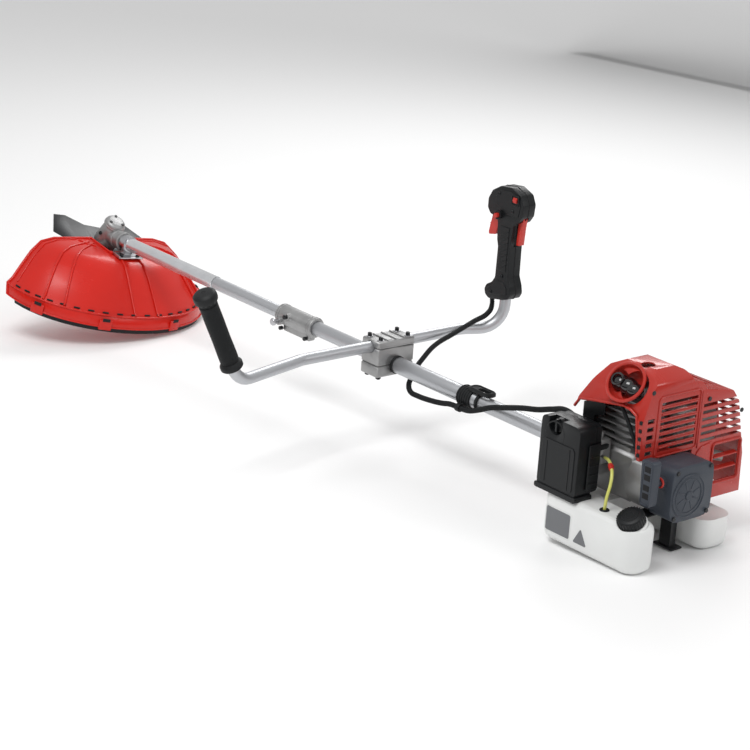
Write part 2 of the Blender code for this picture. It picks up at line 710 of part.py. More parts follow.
def guard_bracket(head):
    along = Vector((math.cos(GUARD_LEAN), 0, math.sin(GUARD_LEAN)))
    ring_start, ring_end = SOCKET_LENGTH + 1.5 * MM, SOCKET_LENGTH + 23 * MM
    ring = rod("guard_bracket", LOWER_TUBE_RADIUS + 4.5 * MM, along * ring_start, along * ring_end,
               "steel", head, 20)
    web = box("bracket_web", (SOCKET_LENGTH * 0.98 + 6 * MM, -9 * MM, PLATE_LOW),
              (SOCKET_LENGTH + 22 * MM, 9 * MM, 8 * MM), None, head)
    plate = box("bracket_plate", (SOCKET_LENGTH + 6 * MM, -29 * MM, PLATE_LOW),
                (SCREW_A + 9 * MM, 29 * MM, PLATE_HIGH), None,
                head)
    join(ring, web, plate)
    bore = rod("bracket_bore", LOWER_TUBE_RADIUS + GAP, along * (ring_start - 0.03),
               along * (ring_end + 0.03), None, head, 20)
    cut(ring, bore)
    for side, word in ((-1, "left"), (1, "right")):
        hole = rod(f"bracket_hole_{word}", SCREW_RADIUS + GAP, (SCREW_A, side * SCREW_B, -0.04),
                   (SCREW_A, side * SCREW_B, 0.04),
                   None, head, 12)
        cut(ring, hole)
        head_low = PLATE_HIGH + GAP
        profile = [(0, head_low + 5 * MM), (4.5 * MM, head_low + 5 * MM), (4.5 * MM, head_low),
                   (SCREW_RADIUS, head_low),
                   (SCREW_RADIUS, GUARD_TOP - GUARD_WALL - 5 * MM), (0, GUARD_TOP - GUARD_WALL - 5 * MM)]
        turned(f"guard_screw_{word}", profile, "black_steel", head, (SCREW_A, side * SCREW_B, 0),
               sides=12)


# ---------------------------------------------------------------- handlebar

def handlebar(machine):
    left = bent([(BAR_X, 0, BAR_Z), (BAR_X, LEFT_BEND_Y, BAR_Z), LEFT_HAND, LEFT_TOP], BEND_RADIUS)
    right = bent([(BAR_X, 0, BAR_Z), (BAR_X, RIGHT_BEND_Y, BAR_Z), (RIGHT_HAND_X, RIGHT_HAND_Y, BAR_Z),
                  (RIGHT_HAND_X, RIGHT_HAND_Y, RIGHT_TUBE_TOP)], BEND_RADIUS)
    wire("handlebar", list(reversed(left)) + right[1:], BAR_RADIUS, "bright_tube", machine, 6)
    left_grip(machine)


def left_grip(machine):
    axis = (LEFT_TOP - LEFT_HAND).normalized()
    start = LEFT_HAND + axis * (GRIP_START - LEFT_HAND.z) / axis.z
    end = (LEFT_TOP - start).length + 1.5 * MM
    hole = BAR_RADIUS + GAP
    profile = [(0, end + 9 * MM), (15 * MM, end + 9 * MM), (GRIP_FLANGE_RADIUS, end + 4 * MM),
               (GRIP_FLANGE_RADIUS, end - 8 * MM),
               (GRIP_RADIUS, end - 15 * MM), (GRIP_RADIUS, 12 * MM), (GRIP_FLANGE_RADIUS - 1 * MM,
                                                                      8 * MM),
               (GRIP_FLANGE_RADIUS - 1 * MM, 0), (hole, 0), (hole, end), (0, end)]
    grip = turned("left_grip", profile, "rubber", machine, start)
    grip.rotation_mode = "QUATERNION"
    grip.rotation_quaternion = axis.to_track_quat("Z", "Y")


def handle_clamp(machine):
    low_x, high_x = BAR_X - CLAMP_LENGTH / 2, BAR_X + CLAMP_LENGTH / 2
    half = CLAMP_WIDTH / 2
    layers = {
        "clamp_cap": (BAR_Z + GAP, CLAMP_TOP),
        "clamp_block": (GAP, BAR_Z - GAP),
        "clamp_base": (CLAMP_BOTTOM, -GAP),
    }
    bar_bore = rod("bar_bore", BAR_RADIUS + 2 * GAP, (BAR_X, -2 * half, BAR_Z),
                   (BAR_X, 2 * half, BAR_Z), None, machine, 22)
    tube_bore = rod("tube_bore", UPPER_TUBE_RADIUS + GAP, (low_x - half, 0, 0), (high_x + half, 0, 0),
                    None, machine, 22)
    spots = [(BAR_X + i * BOLT_SPACING.x / 2, j * BOLT_SPACING.y / 2) for i in (-1, 1) for j in (-1, 1)]
    holes = [rod(f"bolt_hole_{k}", BOLT_RADIUS + GAP, (*spot, CLAMP_BOTTOM - 0.02),
                 (*spot, CLAMP_TOP + 0.02), None,
                 machine, 12) for k, spot in enumerate(spots)]
    for name, (low, high) in layers.items():
        slab = box(name, (low_x, -half, low), (high_x, half, high), "cast_aluminium", machine, 2.5 * MM)
        cut(slab, *holes)
        if name != "clamp_base":
            cut(slab, bar_bore)
        if name != "clamp_cap":
            cut(slab, tube_bore)
    for k, spot in enumerate(spots):
        head_low = CLAMP_TOP + GAP
        profile = [(0, head_low + 7 * MM), (4.2 * MM, head_low + 7 * MM), (4.2 * MM, head_low),
                   (BOLT_RADIUS, head_low),
                   (BOLT_RADIUS, CLAMP_BOTTOM - 6 * MM), (0, CLAMP_BOTTOM - 6 * MM)]
        turned(f"clamp_bolt_{k + 1}", profile, "black_steel", machine, (*spot, 0), sides=10)


# ---------------------------------------------------------------- throttle grip

def mm_outline(points):
    return [(x * MM, z * MM) for x, z in points]


GRIP_OUTLINE = mm_outline([
    (60, 94), (76, 99), (82, 110), (79, 124), (71, 142), (70, 200), (75, 246), (87, 253), (96,
                                                                                           266), (98,
                                                                                                  288),
    (89, 306), (62, 316), (32, 313), (10, 300), (0, 282), (0, 264), (8, 254), (24, 251), (31, 244), (33,
                                                                                                     209),
    (37, 196), (36, 134), (28, 122), (14, 114), (9, 104), (12, 94), (22, 88), (36, 90)])
TRIGGER_OUTLINE = mm_outline([
    (5, 249.5), (2, 236), (-3, 213), (-1, 209), (17, 213), (22, 232), (25, 246), (25, 262), (20,
                                                                                             269), (12,
                                                                                                    269),
    (8, 262), (8, 249.5)])
TRIGGER_SLOT = mm_outline([(3, 240), (3, 274), (31, 274), (31, 258), (46, 254), (46, 206), (24, 206),
                           (24, 240)])
LEVER_OUTLINE = mm_outline([(79, 268), (89, 268), (90, 256), (88, 240), (86, 207), (76, 205),
                            (77.5, 240), (78, 256)])
LEVER_SLOT = mm_outline([(67, 201), (67, 250), (75, 260), (75, 273), (93.5, 273), (93.5, 240),
                         (110, 240), (110, 201)])
FACE_Y = RIGHT_HAND_Y - THROTTLE_WIDTH / 2
BEZEL = 9 * MM
ROCKER = 5 * MM
PIVOT_RADIUS = 2 * MM


def throttle_grip(machine):
    body = prism("throttle_grip", rounded(GRIP_OUTLINE, 5 * MM, 1), FACE_Y, FACE_Y + THROTTLE_WIDTH,
                 "black_plastic", machine,
                 "XZ", 4 * MM, 1)
    boss = rod("lock_boss", LOCK_RADIUS + 3 * MM, (LOCK_AT.x, FACE_Y + 5 * MM, LOCK_AT.y),
               (LOCK_AT.x, FACE_Y - 7 * MM, LOCK_AT.y),
               None, machine, 14)
    bezel = box("switch_bezel", (SWITCH_AT.x - BEZEL, FACE_Y - 1.4 * MM, SWITCH_AT.y - BEZEL),
                (SWITCH_AT.x + BEZEL, FACE_Y + 2 * MM, SWITCH_AT.y + BEZEL), None, machine)
    join(body, boss, bezel)
    tube = rod("grip_bore", BAR_RADIUS + 2 * GAP, (RIGHT_HAND_X, RIGHT_HAND_Y, 0.05),
               (RIGHT_HAND_X, RIGHT_HAND_Y, RIGHT_TUBE_TOP + 1 * MM), None, machine, 18)
    half = TRIGGER_WIDTH / 2 + SLOT_CLEARANCE
    trigger_slot = prism("trigger_slot", TRIGGER_SLOT, RIGHT_HAND_Y - half, RIGHT_HAND_Y + half, None,
                         machine)
    lever_slot = prism("lever_slot", LEVER_SLOT, RIGHT_HAND_Y - half, RIGHT_HAND_Y + half, None, machine)
    well = ROCKER + 1.4 * MM
    switch_well = box("switch_well", (SWITCH_AT.x - well, FACE_Y - 0.01, SWITCH_AT.y - well),
                      (SWITCH_AT.x + well, FACE_Y + 6 * MM, SWITCH_AT.y + well), None, machine)
    lock_bore = rod("lock_bore", LOCK_RADIUS + GAP, (LOCK_AT.x, FACE_Y - 0.02, LOCK_AT.y),
                    (LOCK_AT.x, FACE_Y + 8 * MM, LOCK_AT.y),
                    None, machine, 14)
    cut(body, tube, trigger_slot, lever_slot, switch_well, lock_bore)
    for name, pivot in (("trigger_pin", TRIGGER_PIVOT), ("lever_pin", LEVER_PIVOT)):
        join(body, rod(name, PIVOT_RADIUS, (pivot.x, RIGHT_HAND_Y - half - 1 * MM, pivot.y),
                       (pivot.x, RIGHT_HAND_Y + half + 1 * MM, pivot.y), None, machine, 10))
    switch_pin = rod("switch_pin", 1 * MM, (SWITCH_AT.x - well - 1 * MM, FACE_Y + 3.5 * MM, SWITCH_AT.y),
                     (SWITCH_AT.x + well + 1 * MM, FACE_Y + 3.5 * MM, SWITCH_AT.y), None, machine, 8)
    join(body, switch_pin)


def pivoted(name, outline, pivot, axis_name, finish, machine):
    """A flat lever in its slot, hung on an empty that lies on its pivot."""
    axis = empty(axis_name, machine, (pivot.x, RIGHT_HAND_Y, pivot.y))
    local = [(x - pivot.x, z - pivot.y) for x, z in outline]
    half = TRIGGER_WIDTH / 2
    lever = prism(name, rounded(local, 2 * MM, 2), -half, half, finish, axis)
    hole = rod(name + "_hole", PIVOT_RADIUS + 0.5 * MM, (0, -half - 0.01, 0), (0, half + 0.01, 0), None,
               axis, 12)
    return cut(lever, hole)


def throttle_controls(machine):
    pivoted("throttle_trigger", TRIGGER_OUTLINE, TRIGGER_PIVOT, "trigger_axis", "red_button", machine)
    pivoted("lockout_lever", LEVER_OUTLINE, LEVER_PIVOT, "lever_axis", "red_button", machine)
    axis = empty("switch_axis", machine, (SWITCH_AT.x, FACE_Y + 3.5 * MM, SWITCH_AT.y))
    rocker = box("stop_switch", (-ROCKER, -7.5 * MM, -ROCKER), (ROCKER, 2 * MM, ROCKER), "red_button",
                 axis, 0.8 * MM, 1)
    cut(rocker, rod("rocker_hole", 1.4 * MM, (-0.02, 0, 0), (0.02, 0, 0), None, axis, 10))
    rod("lock_button", LOCK_RADIUS, (LOCK_AT.x, FACE_Y - 14 * MM, LOCK_AT.y),
        (LOCK_AT.x, FACE_Y + 4 * MM, LOCK_AT.y),
        "red_button", machine, 14)


CONDUIT_ROUTE = [
    (16, 260, 86), (21, 257, 72), (34, 236, 62), (44, 190, 54), (44, 140, 37), (44, 95, 21), (52, 62,
                                                                                              4), (60,
                                                                                                   38, -10),
    (68, 22, -22), (82, 4, -31), (102, -8, -36), (130, -15, -34), (168, -18, -30), (205, -22,
                                                                                    -23), (232, -25, -16),
    (255, -25, -15), (280, -25, -13), (305, -24, -4), (335, -24, 10), (370, -28, 22), (425, -34,
                                                                                       40), (475, -44,
                                                                                             55),
    (520, -54, 72), (552, -58, 82), (574, -59, 80), (590, -57, 72)]


def throttle_conduit(machine):
    """Corrugated conduit with the throttle cable and the stop wires, clipped under the hanger band."""
    route = [Vector(point) * MM for point in CONDUIT_ROUTE]
    wire("throttle_conduit", smooth_path(route, 19 * MM), CONDUIT_RADIUS, "rubber", machine, 2)


# ---------------------------------------------------------------- engine: clutch, crankcase and cylinder

def clutch(machine, crank_axis):
    start, end = CLUTCH_HOUSING_START, CLUTCH_HOUSING_END
    room = CLUTCH_DRUM_RADIUS + 4 * MM
    bore = UPPER_TUBE_RADIUS + GAP
    shaft_hole = DRIVE_SHAFT_RADIUS + RUNNING_GAP
    profile = [(room + 5 * MM, end), (room + 5 * MM, end - 8 * MM), (room + 2 * MM, end - 28 * MM),
               (23 * MM, end - 40 * MM),
               (20 * MM, end - 46 * MM), (20 * MM, start), (bore, start), (bore, UPPER_TUBE_END + GAP),
               (shaft_hole, UPPER_TUBE_END + GAP), (shaft_hole, DRUM_START - 4 * MM), (room,
                                                                                       DRUM_START - 2 * MM), (room, end)]
    turned("clutch_housing", profile, "cast_aluminium", machine, (0, 0, 0), "X", 22, closed=True)
    inside = CLUTCH_DRUM_RADIUS - 2 * MM
    shoes = rod("clutch_shoes", inside - 1.5 * MM, (DRUM_START + 6 * MM, 0, 0),
                (DRUM_END - 4 * MM, 0, 0), "black_steel",
                crank_axis, 20)
    cut(shoes, rod("shoes_bore", CRANK_RADIUS + GAP, (0.5, 0, 0), (0.7, 0, 0), None, crank_axis, 14))
    for k, side in enumerate((-1, 1)):
        cut(shoes, box(f"shoe_gap_{k}", (0.5, -1.5 * MM, side * 26 * MM - 12 * MM),
                       (0.7, 1.5 * MM, side * 26 * MM + 12 * MM), None,
                       crank_axis))


CRANK_RADIUS = 6 * MM
CRANK_WEB_RADIUS = 25 * MM
CRANK_THROW = 14 * MM
CRANK_END = 760 * MM
WEB_THICKNESS = 6 * MM
FLYWHEEL_X = 716 * MM


def crank_parts(crank_axis):
    """Crankshaft with its two webs and pin, and the fan flywheel on its tail."""
    shaft = rod("crankshaft", CRANK_RADIUS, (DRUM_START + 5 * MM, 0, 0), (CYLINDER_X - 7 * MM, 0, 0),
                "steel", crank_axis, 14)
    tail = rod("crank_tail", CRANK_RADIUS, (CYLINDER_X + 7 * MM, 0, 0), (CRANK_END, 0, 0), None,
               crank_axis, 14)
    webs = [rod(f"crank_web_{k}", CRANK_WEB_RADIUS, (x, 0, 0), (x + WEB_THICKNESS, 0, 0), None,
                crank_axis, 20)
            for k, x in enumerate((CYLINDER_X - 6 * MM - WEB_THICKNESS, CYLINDER_X + 6 * MM))]
    pin = rod("crank_pin", 5 * MM, (CYLINDER_X - 8 * MM, 0, CRANK_THROW),
              (CYLINDER_X + 8 * MM, 0, CRANK_THROW), None, crank_axis, 12)
    join(shaft, *webs, pin, tail)
    wheel = rod("flywheel", FAN_RADIUS - 6 * MM, (FLYWHEEL_X, 0, 0), (FLYWHEEL_X + 8 * MM, 0, 0),
                "cast_aluminium", crank_axis, 22)
    for k in range(8):
        turn = k * math.tau / 8
        fin = box(f"fan_blade_{k}", (FLYWHEEL_X + 4 * MM, 16 * MM, -1.2 * MM),
                  (FLYWHEEL_X + 18 * MM, FAN_RADIUS, 1.2 * MM), None,
                  crank_axis)
        fin.matrix_basis = Matrix.Rotation(turn, 4, "X") @ fin.matrix_basis
        join(wheel, fin)
    cut(wheel, rod("wheel_bore", CRANK_RADIUS + GAP, (0.68, 0, 0), (0.76, 0, 0), None, crank_axis, 14))


def crankcase(machine):
    """Crankcase block with the fan housing cast on its rear."""
    start = CLUTCH_HOUSING_END + GAP
    block = box("crankcase", (start, -36 * MM, -40 * MM), (CRANKCASE_END, 36 * MM, 44 * MM),
                "cast_aluminium", machine, 6 * MM)
    bell = rod("fan_bell", FAN_RADIUS + 5 * MM, (CRANKCASE_END - 6 * MM, 0, 0), (FAN_HOUSING_END, 0, 0),
               None, machine, 24)
    face = rod("clutch_face", CLUTCH_DRUM_RADIUS + 9 * MM, (start, 0, 0), (start + 7 * MM, 0, 0), None,
               machine, 22)
    join(block, bell, face)
    chamber = rod("crank_chamber", CRANK_WEB_RADIUS + 3 * MM, (CYLINDER_X - 15 * MM, 0, 0),
                  (CYLINDER_X + 15 * MM, 0, 0), None,
                  machine, 22)
    journal = rod("crank_journal", CRANK_RADIUS + GAP, (0.5, 0, 0), (0.8, 0, 0), None, machine, 18)
    fan_room = rod("fan_room", FAN_RADIUS + 1.2 * MM, (CRANKCASE_END + 2 * MM, 0, 0), (0.8, 0, 0), None,
                   machine, 24)
    mouth = rod("cylinder_mouth", BORE_RADIUS + 1 * MM, (CYLINDER_X, 0, 0), (CYLINDER_X, 0, 0.1), None,
                machine, 20)
    cut(block, chamber, journal, fan_room, mouth)


CYLINDER_FOOT = 44 * MM + GAP
FIN_PITCH = 12 * MM
FIN_THICKNESS = 3 * MM
PLUG_AIM = Vector((0.1, -0.8, 0.6)).normalized()
PLUG_SEAT = Vector((CYLINDER_X + 2 * MM, -10 * MM, CYLINDER_TOP - 12 * MM))


def cylinder(machine):
    half = CYLINDER_SIZE / 2
    barrel = rod("cylinder", BORE_RADIUS + 7 * MM, (CYLINDER_X, 0, CYLINDER_FOOT),
                 (CYLINDER_X, 0, CYLINDER_TOP), "cast_aluminium",
                 machine, 20)
    flange = box("cylinder_flange", (CYLINDER_X - 34 * MM, -31 * MM, CYLINDER_FOOT),
                 (CYLINDER_X + 34 * MM, 31 * MM, CYLINDER_FOOT + 7 * MM),
                 None, machine)
    fins = box("cylinder_fins", (CYLINDER_X - half, -36 * MM, CYLINDER_FOOT + 15 * MM),
               (CYLINDER_X + half, 36 * MM, CYLINDER_FOOT + 15 * MM + FIN_THICKNESS), None, machine)
    stack = fins.modifiers.new("Stack", "ARRAY")
    stack.count = 7
    stack.use_relative_offset = False
    stack.use_constant_offset = True
    stack.constant_offset_displace = (0, 0, FIN_PITCH)
    seat = rod("plug_boss", 9 * MM, PLUG_SEAT - PLUG_AIM * 16 * MM, PLUG_SEAT + PLUG_AIM * 12 * MM,
               None, machine, 14)
    join(barrel, flange, fins, seat)
    clear = rod("plug_room", 12.5 * MM, PLUG_SEAT + PLUG_AIM * 12 * MM, PLUG_SEAT + PLUG_AIM * 60 * MM,
                None, machine, 14)
    bore = rod("cylinder_bore", BORE_RADIUS, (CYLINDER_X, 0, 0),
               (CYLINDER_X, 0, CYLINDER_TOP - 24 * MM), None, machine, 20)
    plug_bore = rod("plug_bore", 5 * MM + GAP, PLUG_SEAT - PLUG_AIM * 20 * MM,
                    PLUG_SEAT + PLUG_AIM * 60 * MM, None, machine, 12)
    cut(barrel, clear, bore, plug_bore)


def on_plug_axis(obj):
    obj.rotation_mode = "QUATERNION"
    obj.rotation_quaternion = PLUG_AIM.to_track_quat("Z", "Y")
    return obj


def ignition(machine):
    seat = 12 * MM + GAP
    profile = [(0, seat + 26 * MM), (2.5 * MM, seat + 26 * MM), (3.5 * MM, seat + 8 * MM),
               (8 * MM, seat + 7 * MM), (8 * MM, seat),
               (5 * MM, seat), (5 * MM, seat - 14 * MM), (0, seat - 14 * MM)]
    on_plug_axis(turned("spark_plug", profile, "steel", machine, PLUG_SEAT, sides=12))
    low = seat + 9 * MM
    top = seat + 32 * MM
    boot = [(0, top), (8 * MM, top), (11 * MM, top - 4 * MM), (11 * MM, top - 14 * MM), (9 * MM, low),
            (4.2 * MM, low),
            (4.2 * MM, seat + 26 * MM + GAP), (0, seat + 26 * MM + GAP)]
    on_plug_axis(turned("plug_cap", boot, "rubber", machine, PLUG_SEAT, sides=14))


def exhaust(machine):
    """Muffler box beside the crankcase, with a neck to the cylinder and an outlet to the cover's window."""
    port = Vector((CYLINDER_X, CYLINDER_SIZE * 0.43 + GAP, 78 * MM))
    low = Vector((CYLINDER_X - 18 * MM, FAN_RADIUS + 9 * MM, -4 * MM))
    high = Vector((CYLINDER_X + 66 * MM, 146 * MM, 102 * MM))
    body = box("muffler", low, high, "black_steel", machine, 8 * MM)
    neck = rod("muffler_neck", 14 * MM, port, (port.x, low.y + 8 * MM, port.z), None, machine)
    outlet_start, outlet_end = Vector((high.x - 6 * MM, 128 * MM,
                                       22 * MM)), Vector((COVER_REAR - 8 * MM, 150 * MM, 18 * MM))
    outlet = rod("muffler_outlet", 9 * MM, outlet_start, outlet_end, None, machine)
    join(body, neck, outlet)
    wall = Vector((3 * MM, 3 * MM, 3 * MM))
    hollow = box("muffler_hollow", low + wall, high - wall, None, machine, 6 * MM)
    aim = (outlet_end - outlet_start).normalized()
    hole = rod("outlet_hole", 7 * MM, outlet_start - aim * 8 * MM, outlet_end + aim * 8 * MM, None,
               machine)
    neck_hole = rod("neck_hole", 10 * MM, port - Vector((0, 8 * MM, 0)),
                    (port.x, low.y + 8 * MM, port.z), None, machine)
    cut(body, hollow, hole, neck_hole)


# ---------------------------------------------------------------- engine: fuel and air

CARB_LOW = Vector((607 * MM, -67.6 * MM, 14 * MM))
CARB_HIGH = Vector((648 * MM, -36.4 * MM, 58 * MM))
KNOB_AT = Vector((598 * MM, 88 * MM))
KNOB_RADIUS = 12 * MM
CHOKE_AT = Vector((-76 * MM, 52 * MM))


def carburettor(machine):
    body = box("carburettor", CARB_LOW + Vector((0, 8 * MM, 0)), CARB_HIGH, "cast_aluminium", machine,
               3 * MM)
    throat_z = (CARB_LOW.z + CARB_HIGH.z) / 2
    throat_x = (CARB_LOW.x + CARB_HIGH.x) / 2
    horn = rod("carb_horn", 15 * MM, (throat_x, CARB_LOW.y, throat_z),
               (throat_x, CARB_HIGH.y, throat_z), None, machine, 18)
    bracket = box("cable_bracket", (CARB_LOW.x - 12 * MM, -62 * MM, CARB_HIGH.z - 4 * MM),
                  (CARB_LOW.x + 10 * MM, -50 * MM, CARB_HIGH.z), None,
                  machine)
    post = box("cable_post", (CARB_LOW.x - 12 * MM, -62 * MM, CARB_HIGH.z - 2 * MM),
               (CARB_LOW.x - 9.6 * MM, -50 * MM, CARB_HIGH.z + 18 * MM), None,
               machine)
    lever = rod("valve_post", 4 * MM, (throat_x + 6 * MM, -48 * MM, throat_z),
                (throat_x + 6 * MM, -48 * MM, CARB_HIGH.z + 10 * MM), None, machine, 12)
    spout = rod("fuel_spout", 2.6 * MM, (CARB_HIGH.x - 3 * MM, -56 * MM, 30 * MM),
                (CARB_HIGH.x + 6 * MM, -57 * MM, 30 * MM), None, machine, 10)
    join(body, horn, bracket, post, lever, spout)
    cut(body, rod("carb_throat", 10 * MM, (throat_x, -0.1, throat_z), (throat_x, 0, throat_z), None,
                  machine, 18))


def air_cleaner(machine):
    low = (CLEANER_FRONT + 3 * MM, CLEANER_BOTTOM + 3 * MM)
    high = (CLEANER_REAR - 3 * MM, CLEANER_TOP - 2 * MM)
    base = prism("air_cleaner_base", rounded(rectangle(low, high), 10 * MM), CLEANER_SPLIT_Y + GAP,
                 CLEANER_INNER_Y, "black_plastic", machine)
    inner_low = (low[0] + CLEANER_WALL, low[1] + CLEANER_WALL)
    inner_high = (high[0] - CLEANER_WALL, high[1] - 22 * MM)
    dish = prism("base_dish", rounded(rectangle(inner_low, inner_high), 8 * MM), CLEANER_SPLIT_Y - 0.01,
                 CLEANER_INNER_Y - 4 * MM, None, machine)
    throat_z = (CARB_LOW.z + CARB_HIGH.z) / 2
    throat_x = (CARB_LOW.x + CARB_HIGH.x) / 2
    throat = rod("base_throat", 10 * MM, (throat_x, -0.09, throat_z), (throat_x, -0.05, throat_z), None,
                 machine, 18)
    stud = rod("base_stud_hole", 3 * MM + GAP, (KNOB_AT.x, -0.09, KNOB_AT.y - 8 * MM),
               (KNOB_AT.x, -0.05, KNOB_AT.y - 8 * MM), None, machine, 12)
    cut(base, dish, throat, stud)
    ear = box("choke_ear", (CLEANER_REAR - 6 * MM, CHOKE_AT.x - 5 * MM, CHOKE_AT.y - 5 * MM),
              (CLEANER_REAR + 0.5 * MM, CHOKE_AT.x + 5 * MM, CHOKE_AT.y + 5 * MM),
              None, machine)
    choke_pin = rod("choke_pin", 1.8 * MM, (CLEANER_REAR - 2 * MM, *CHOKE_AT),
                    (CLEANER_REAR + 4.5 * MM, *CHOKE_AT), None, machine, 10)
    join(base, ear, choke_pin)
    cover = prism("air_cleaner_cover", rounded(rectangle((CLEANER_FRONT, CLEANER_BOTTOM),
                                                         (CLEANER_REAR,
                                                          CLEANER_TOP)), 12 * MM, 4), CLEANER_OUTER_Y,
                  CLEANER_SPLIT_Y, "black_plastic", machine, "XZ", 5 * MM)
    room_low = (CLEANER_FRONT + CLEANER_WALL, CLEANER_BOTTOM + CLEANER_WALL)
    room_high = (CLEANER_REAR - CLEANER_WALL, CLEANER_TOP - 31 * MM)
    room = prism("cover_room", rounded(rectangle(room_low, room_high), 8 * MM),
                 CLEANER_OUTER_Y + CLEANER_WALL, CLEANER_SPLIT_Y + 0.01, None, machine)
    knob_z = KNOB_AT.y - 8 * MM
    notch = rod("knob_notch", KNOB_RADIUS + 4 * MM, (KNOB_AT.x, CLEANER_OUTER_Y - 0.01, knob_z),
                (KNOB_AT.x, CLEANER_OUTER_Y + 16 * MM, knob_z), None,
                machine, 20)
    notch_top = box("knob_notch_top", (KNOB_AT.x - KNOB_RADIUS - 4 * MM, CLEANER_OUTER_Y - 0.01, knob_z),
                    (KNOB_AT.x + KNOB_RADIUS + 4 * MM, CLEANER_OUTER_Y + 16 * MM,
                     CLEANER_TOP + 0.01), None, machine)
    hole = rod("cover_stud_hole", 3 * MM + GAP, (KNOB_AT.x, -0.13, knob_z), (KNOB_AT.x, -0.05, knob_z),
               None, machine, 12)
    cut(cover, room, notch, notch_top, hole)
    seat = -(CLEANER_OUTER_Y + 16 * MM) + GAP
    tip = -CLEANER_SPLIT_Y - 12 * MM
    knob = turned("cover_knob", [(0, seat + 9 * MM), (KNOB_RADIUS, seat + 9 * MM), (KNOB_RADIUS, seat),
                                 (3 * MM, seat), (3 * MM, tip), (0, tip)],
                  "black_plastic", machine, (KNOB_AT.x, 0, knob_z), "-Y", 14)
    wing = box("knob_wing", (-2 * MM, -KNOB_RADIUS + 1 * MM, seat + 4 * MM),
               (2 * MM, KNOB_RADIUS - 1 * MM, seat + 15 * MM), None, knob)
    join(knob, wing)


def choke_lever(machine):
    axis = empty("choke_axis", machine, (CLEANER_REAR + GAP + 0.5 * MM, *CHOKE_AT))
    outline = arc((0, 0), 5 * MM, 110, 250, 6) + [(16 * MM, -4 * MM), (20 * MM, -2 * MM),
                                                  (20 * MM, 4 * MM), (16 * MM, 5 * MM)]
    lever = prism("choke_lever", outline, 0, 3 * MM, "black_plastic", axis, "YZ")
    cut(lever, rod("choke_hole", 2.2 * MM, (-0.01, 0, 0), (0.02, 0, 0), None, axis, 12))


def u_outline(inset):
    """Plan of the tank: a lobe on each side joined by a bridge at the front."""
    left, right = -122 * MM, 138 * MM
    inner_left, inner_right = -58 * MM, 62 * MM
    return rounded([
        (TANK_FRONT + inset, left + inset), (TANK_REAR - inset, left + inset), (TANK_REAR - inset,
                                                                                inner_left - inset),
        (650 * MM - inset, inner_left - inset), (650 * MM - inset,
                                                 inner_right + inset), (TANK_REAR - 14 * MM - inset,
                                                                        inner_right + inset),
        (TANK_REAR - 14 * MM - inset, right - inset), (TANK_FRONT + inset,
                                                       right - inset)], 28 * MM - inset, 3)


def saddle(name, wall, machine):
    """What the crankcase and the cover leave free above the tank's bridge and right lobe."""
    left, right = -56 * MM, 56 * MM
    bridge, lobe = TANK_BRIDGE_TOP - wall, TANK_RIGHT_TOP - wall
    outline = [(left - wall, 0), (left - wall, bridge), (right - wall, bridge), (right - wall, lobe),
               (0.2, lobe), (0.2, 0)]
    return prism(name, outline, TANK_FRONT - 0.02, TANK_REAR + 0.02, None, machine, "YZ")


def fuel_tank(machine):
    tank = prism("fuel_tank", u_outline(0), TANK_BOTTOM, TANK_TOP, "tank_plastic", machine, "XY",
                 9 * MM, 1)
    hollow = prism("tank_hollow", u_outline(TANK_WALL), TANK_BOTTOM + TANK_WALL, TANK_TOP - TANK_WALL,
                   None, machine, "XY", 6 * MM, 1)
    aim = Matrix.Rotation(CAP_TILT, 3, "X") @ Vector((0, 0, 1))
    room_radius = CAP_RADIUS + 2 * MM
    flare_wall = rod("tank_flare_wall", room_radius + TANK_WALL, CAP_AT - aim * 16 * MM,
                     CAP_AT + aim * 60 * MM, None, machine, 18)
    cut(hollow, saddle("tank_saddle_wall", TANK_WALL, machine), flare_wall)
    room = rod("cap_room", room_radius, CAP_AT, CAP_AT + aim * 60 * MM, None, machine, 18)
    neck = rod("tank_neck", CAP_RADIUS - 6 * MM, CAP_AT - aim * 8 * MM, CAP_AT + aim * 11 * MM, None,
               machine, 18)
    mouth = rod("tank_mouth", CAP_RADIUS - 8.5 * MM, CAP_AT - aim * 30 * MM, CAP_AT + aim * 30 * MM,
                None, machine, 18)
    cut(tank, saddle("tank_saddle", 0.0, machine), room)
    cut(join(tank, neck), hollow, mouth)
    axis = empty("cap_axis", machine, CAP_AT, (CAP_TILT, 0, 0))
    top = 17 * MM
    profile = [(0, top), (CAP_RADIUS - 2 * MM, top), (CAP_RADIUS, top - 2 * MM), (CAP_RADIUS, GAP),
               (CAP_RADIUS - 5.4 * MM, GAP),
               (CAP_RADIUS - 5.4 * MM, 13 * MM), (0, 13 * MM)]
    turned("fuel_cap", profile, "black_plastic", axis, sides=18)


HOSE_ROUTE = [(706, -100, -36.6), (707, -99, -16), (703, -88, 10), (688, -74, 26), (668, -62, 31),
              (654.6, -57, 30)]


def fuel_hose(machine):
    route = [Vector(point) * MM for point in HOSE_ROUTE]
    wire("fuel_hose", smooth_path(route, 12 * MM), 2.8 * MM, "fuel_hose", machine, 2)


# ---------------------------------------------------------------- engine: starter, stand and cover

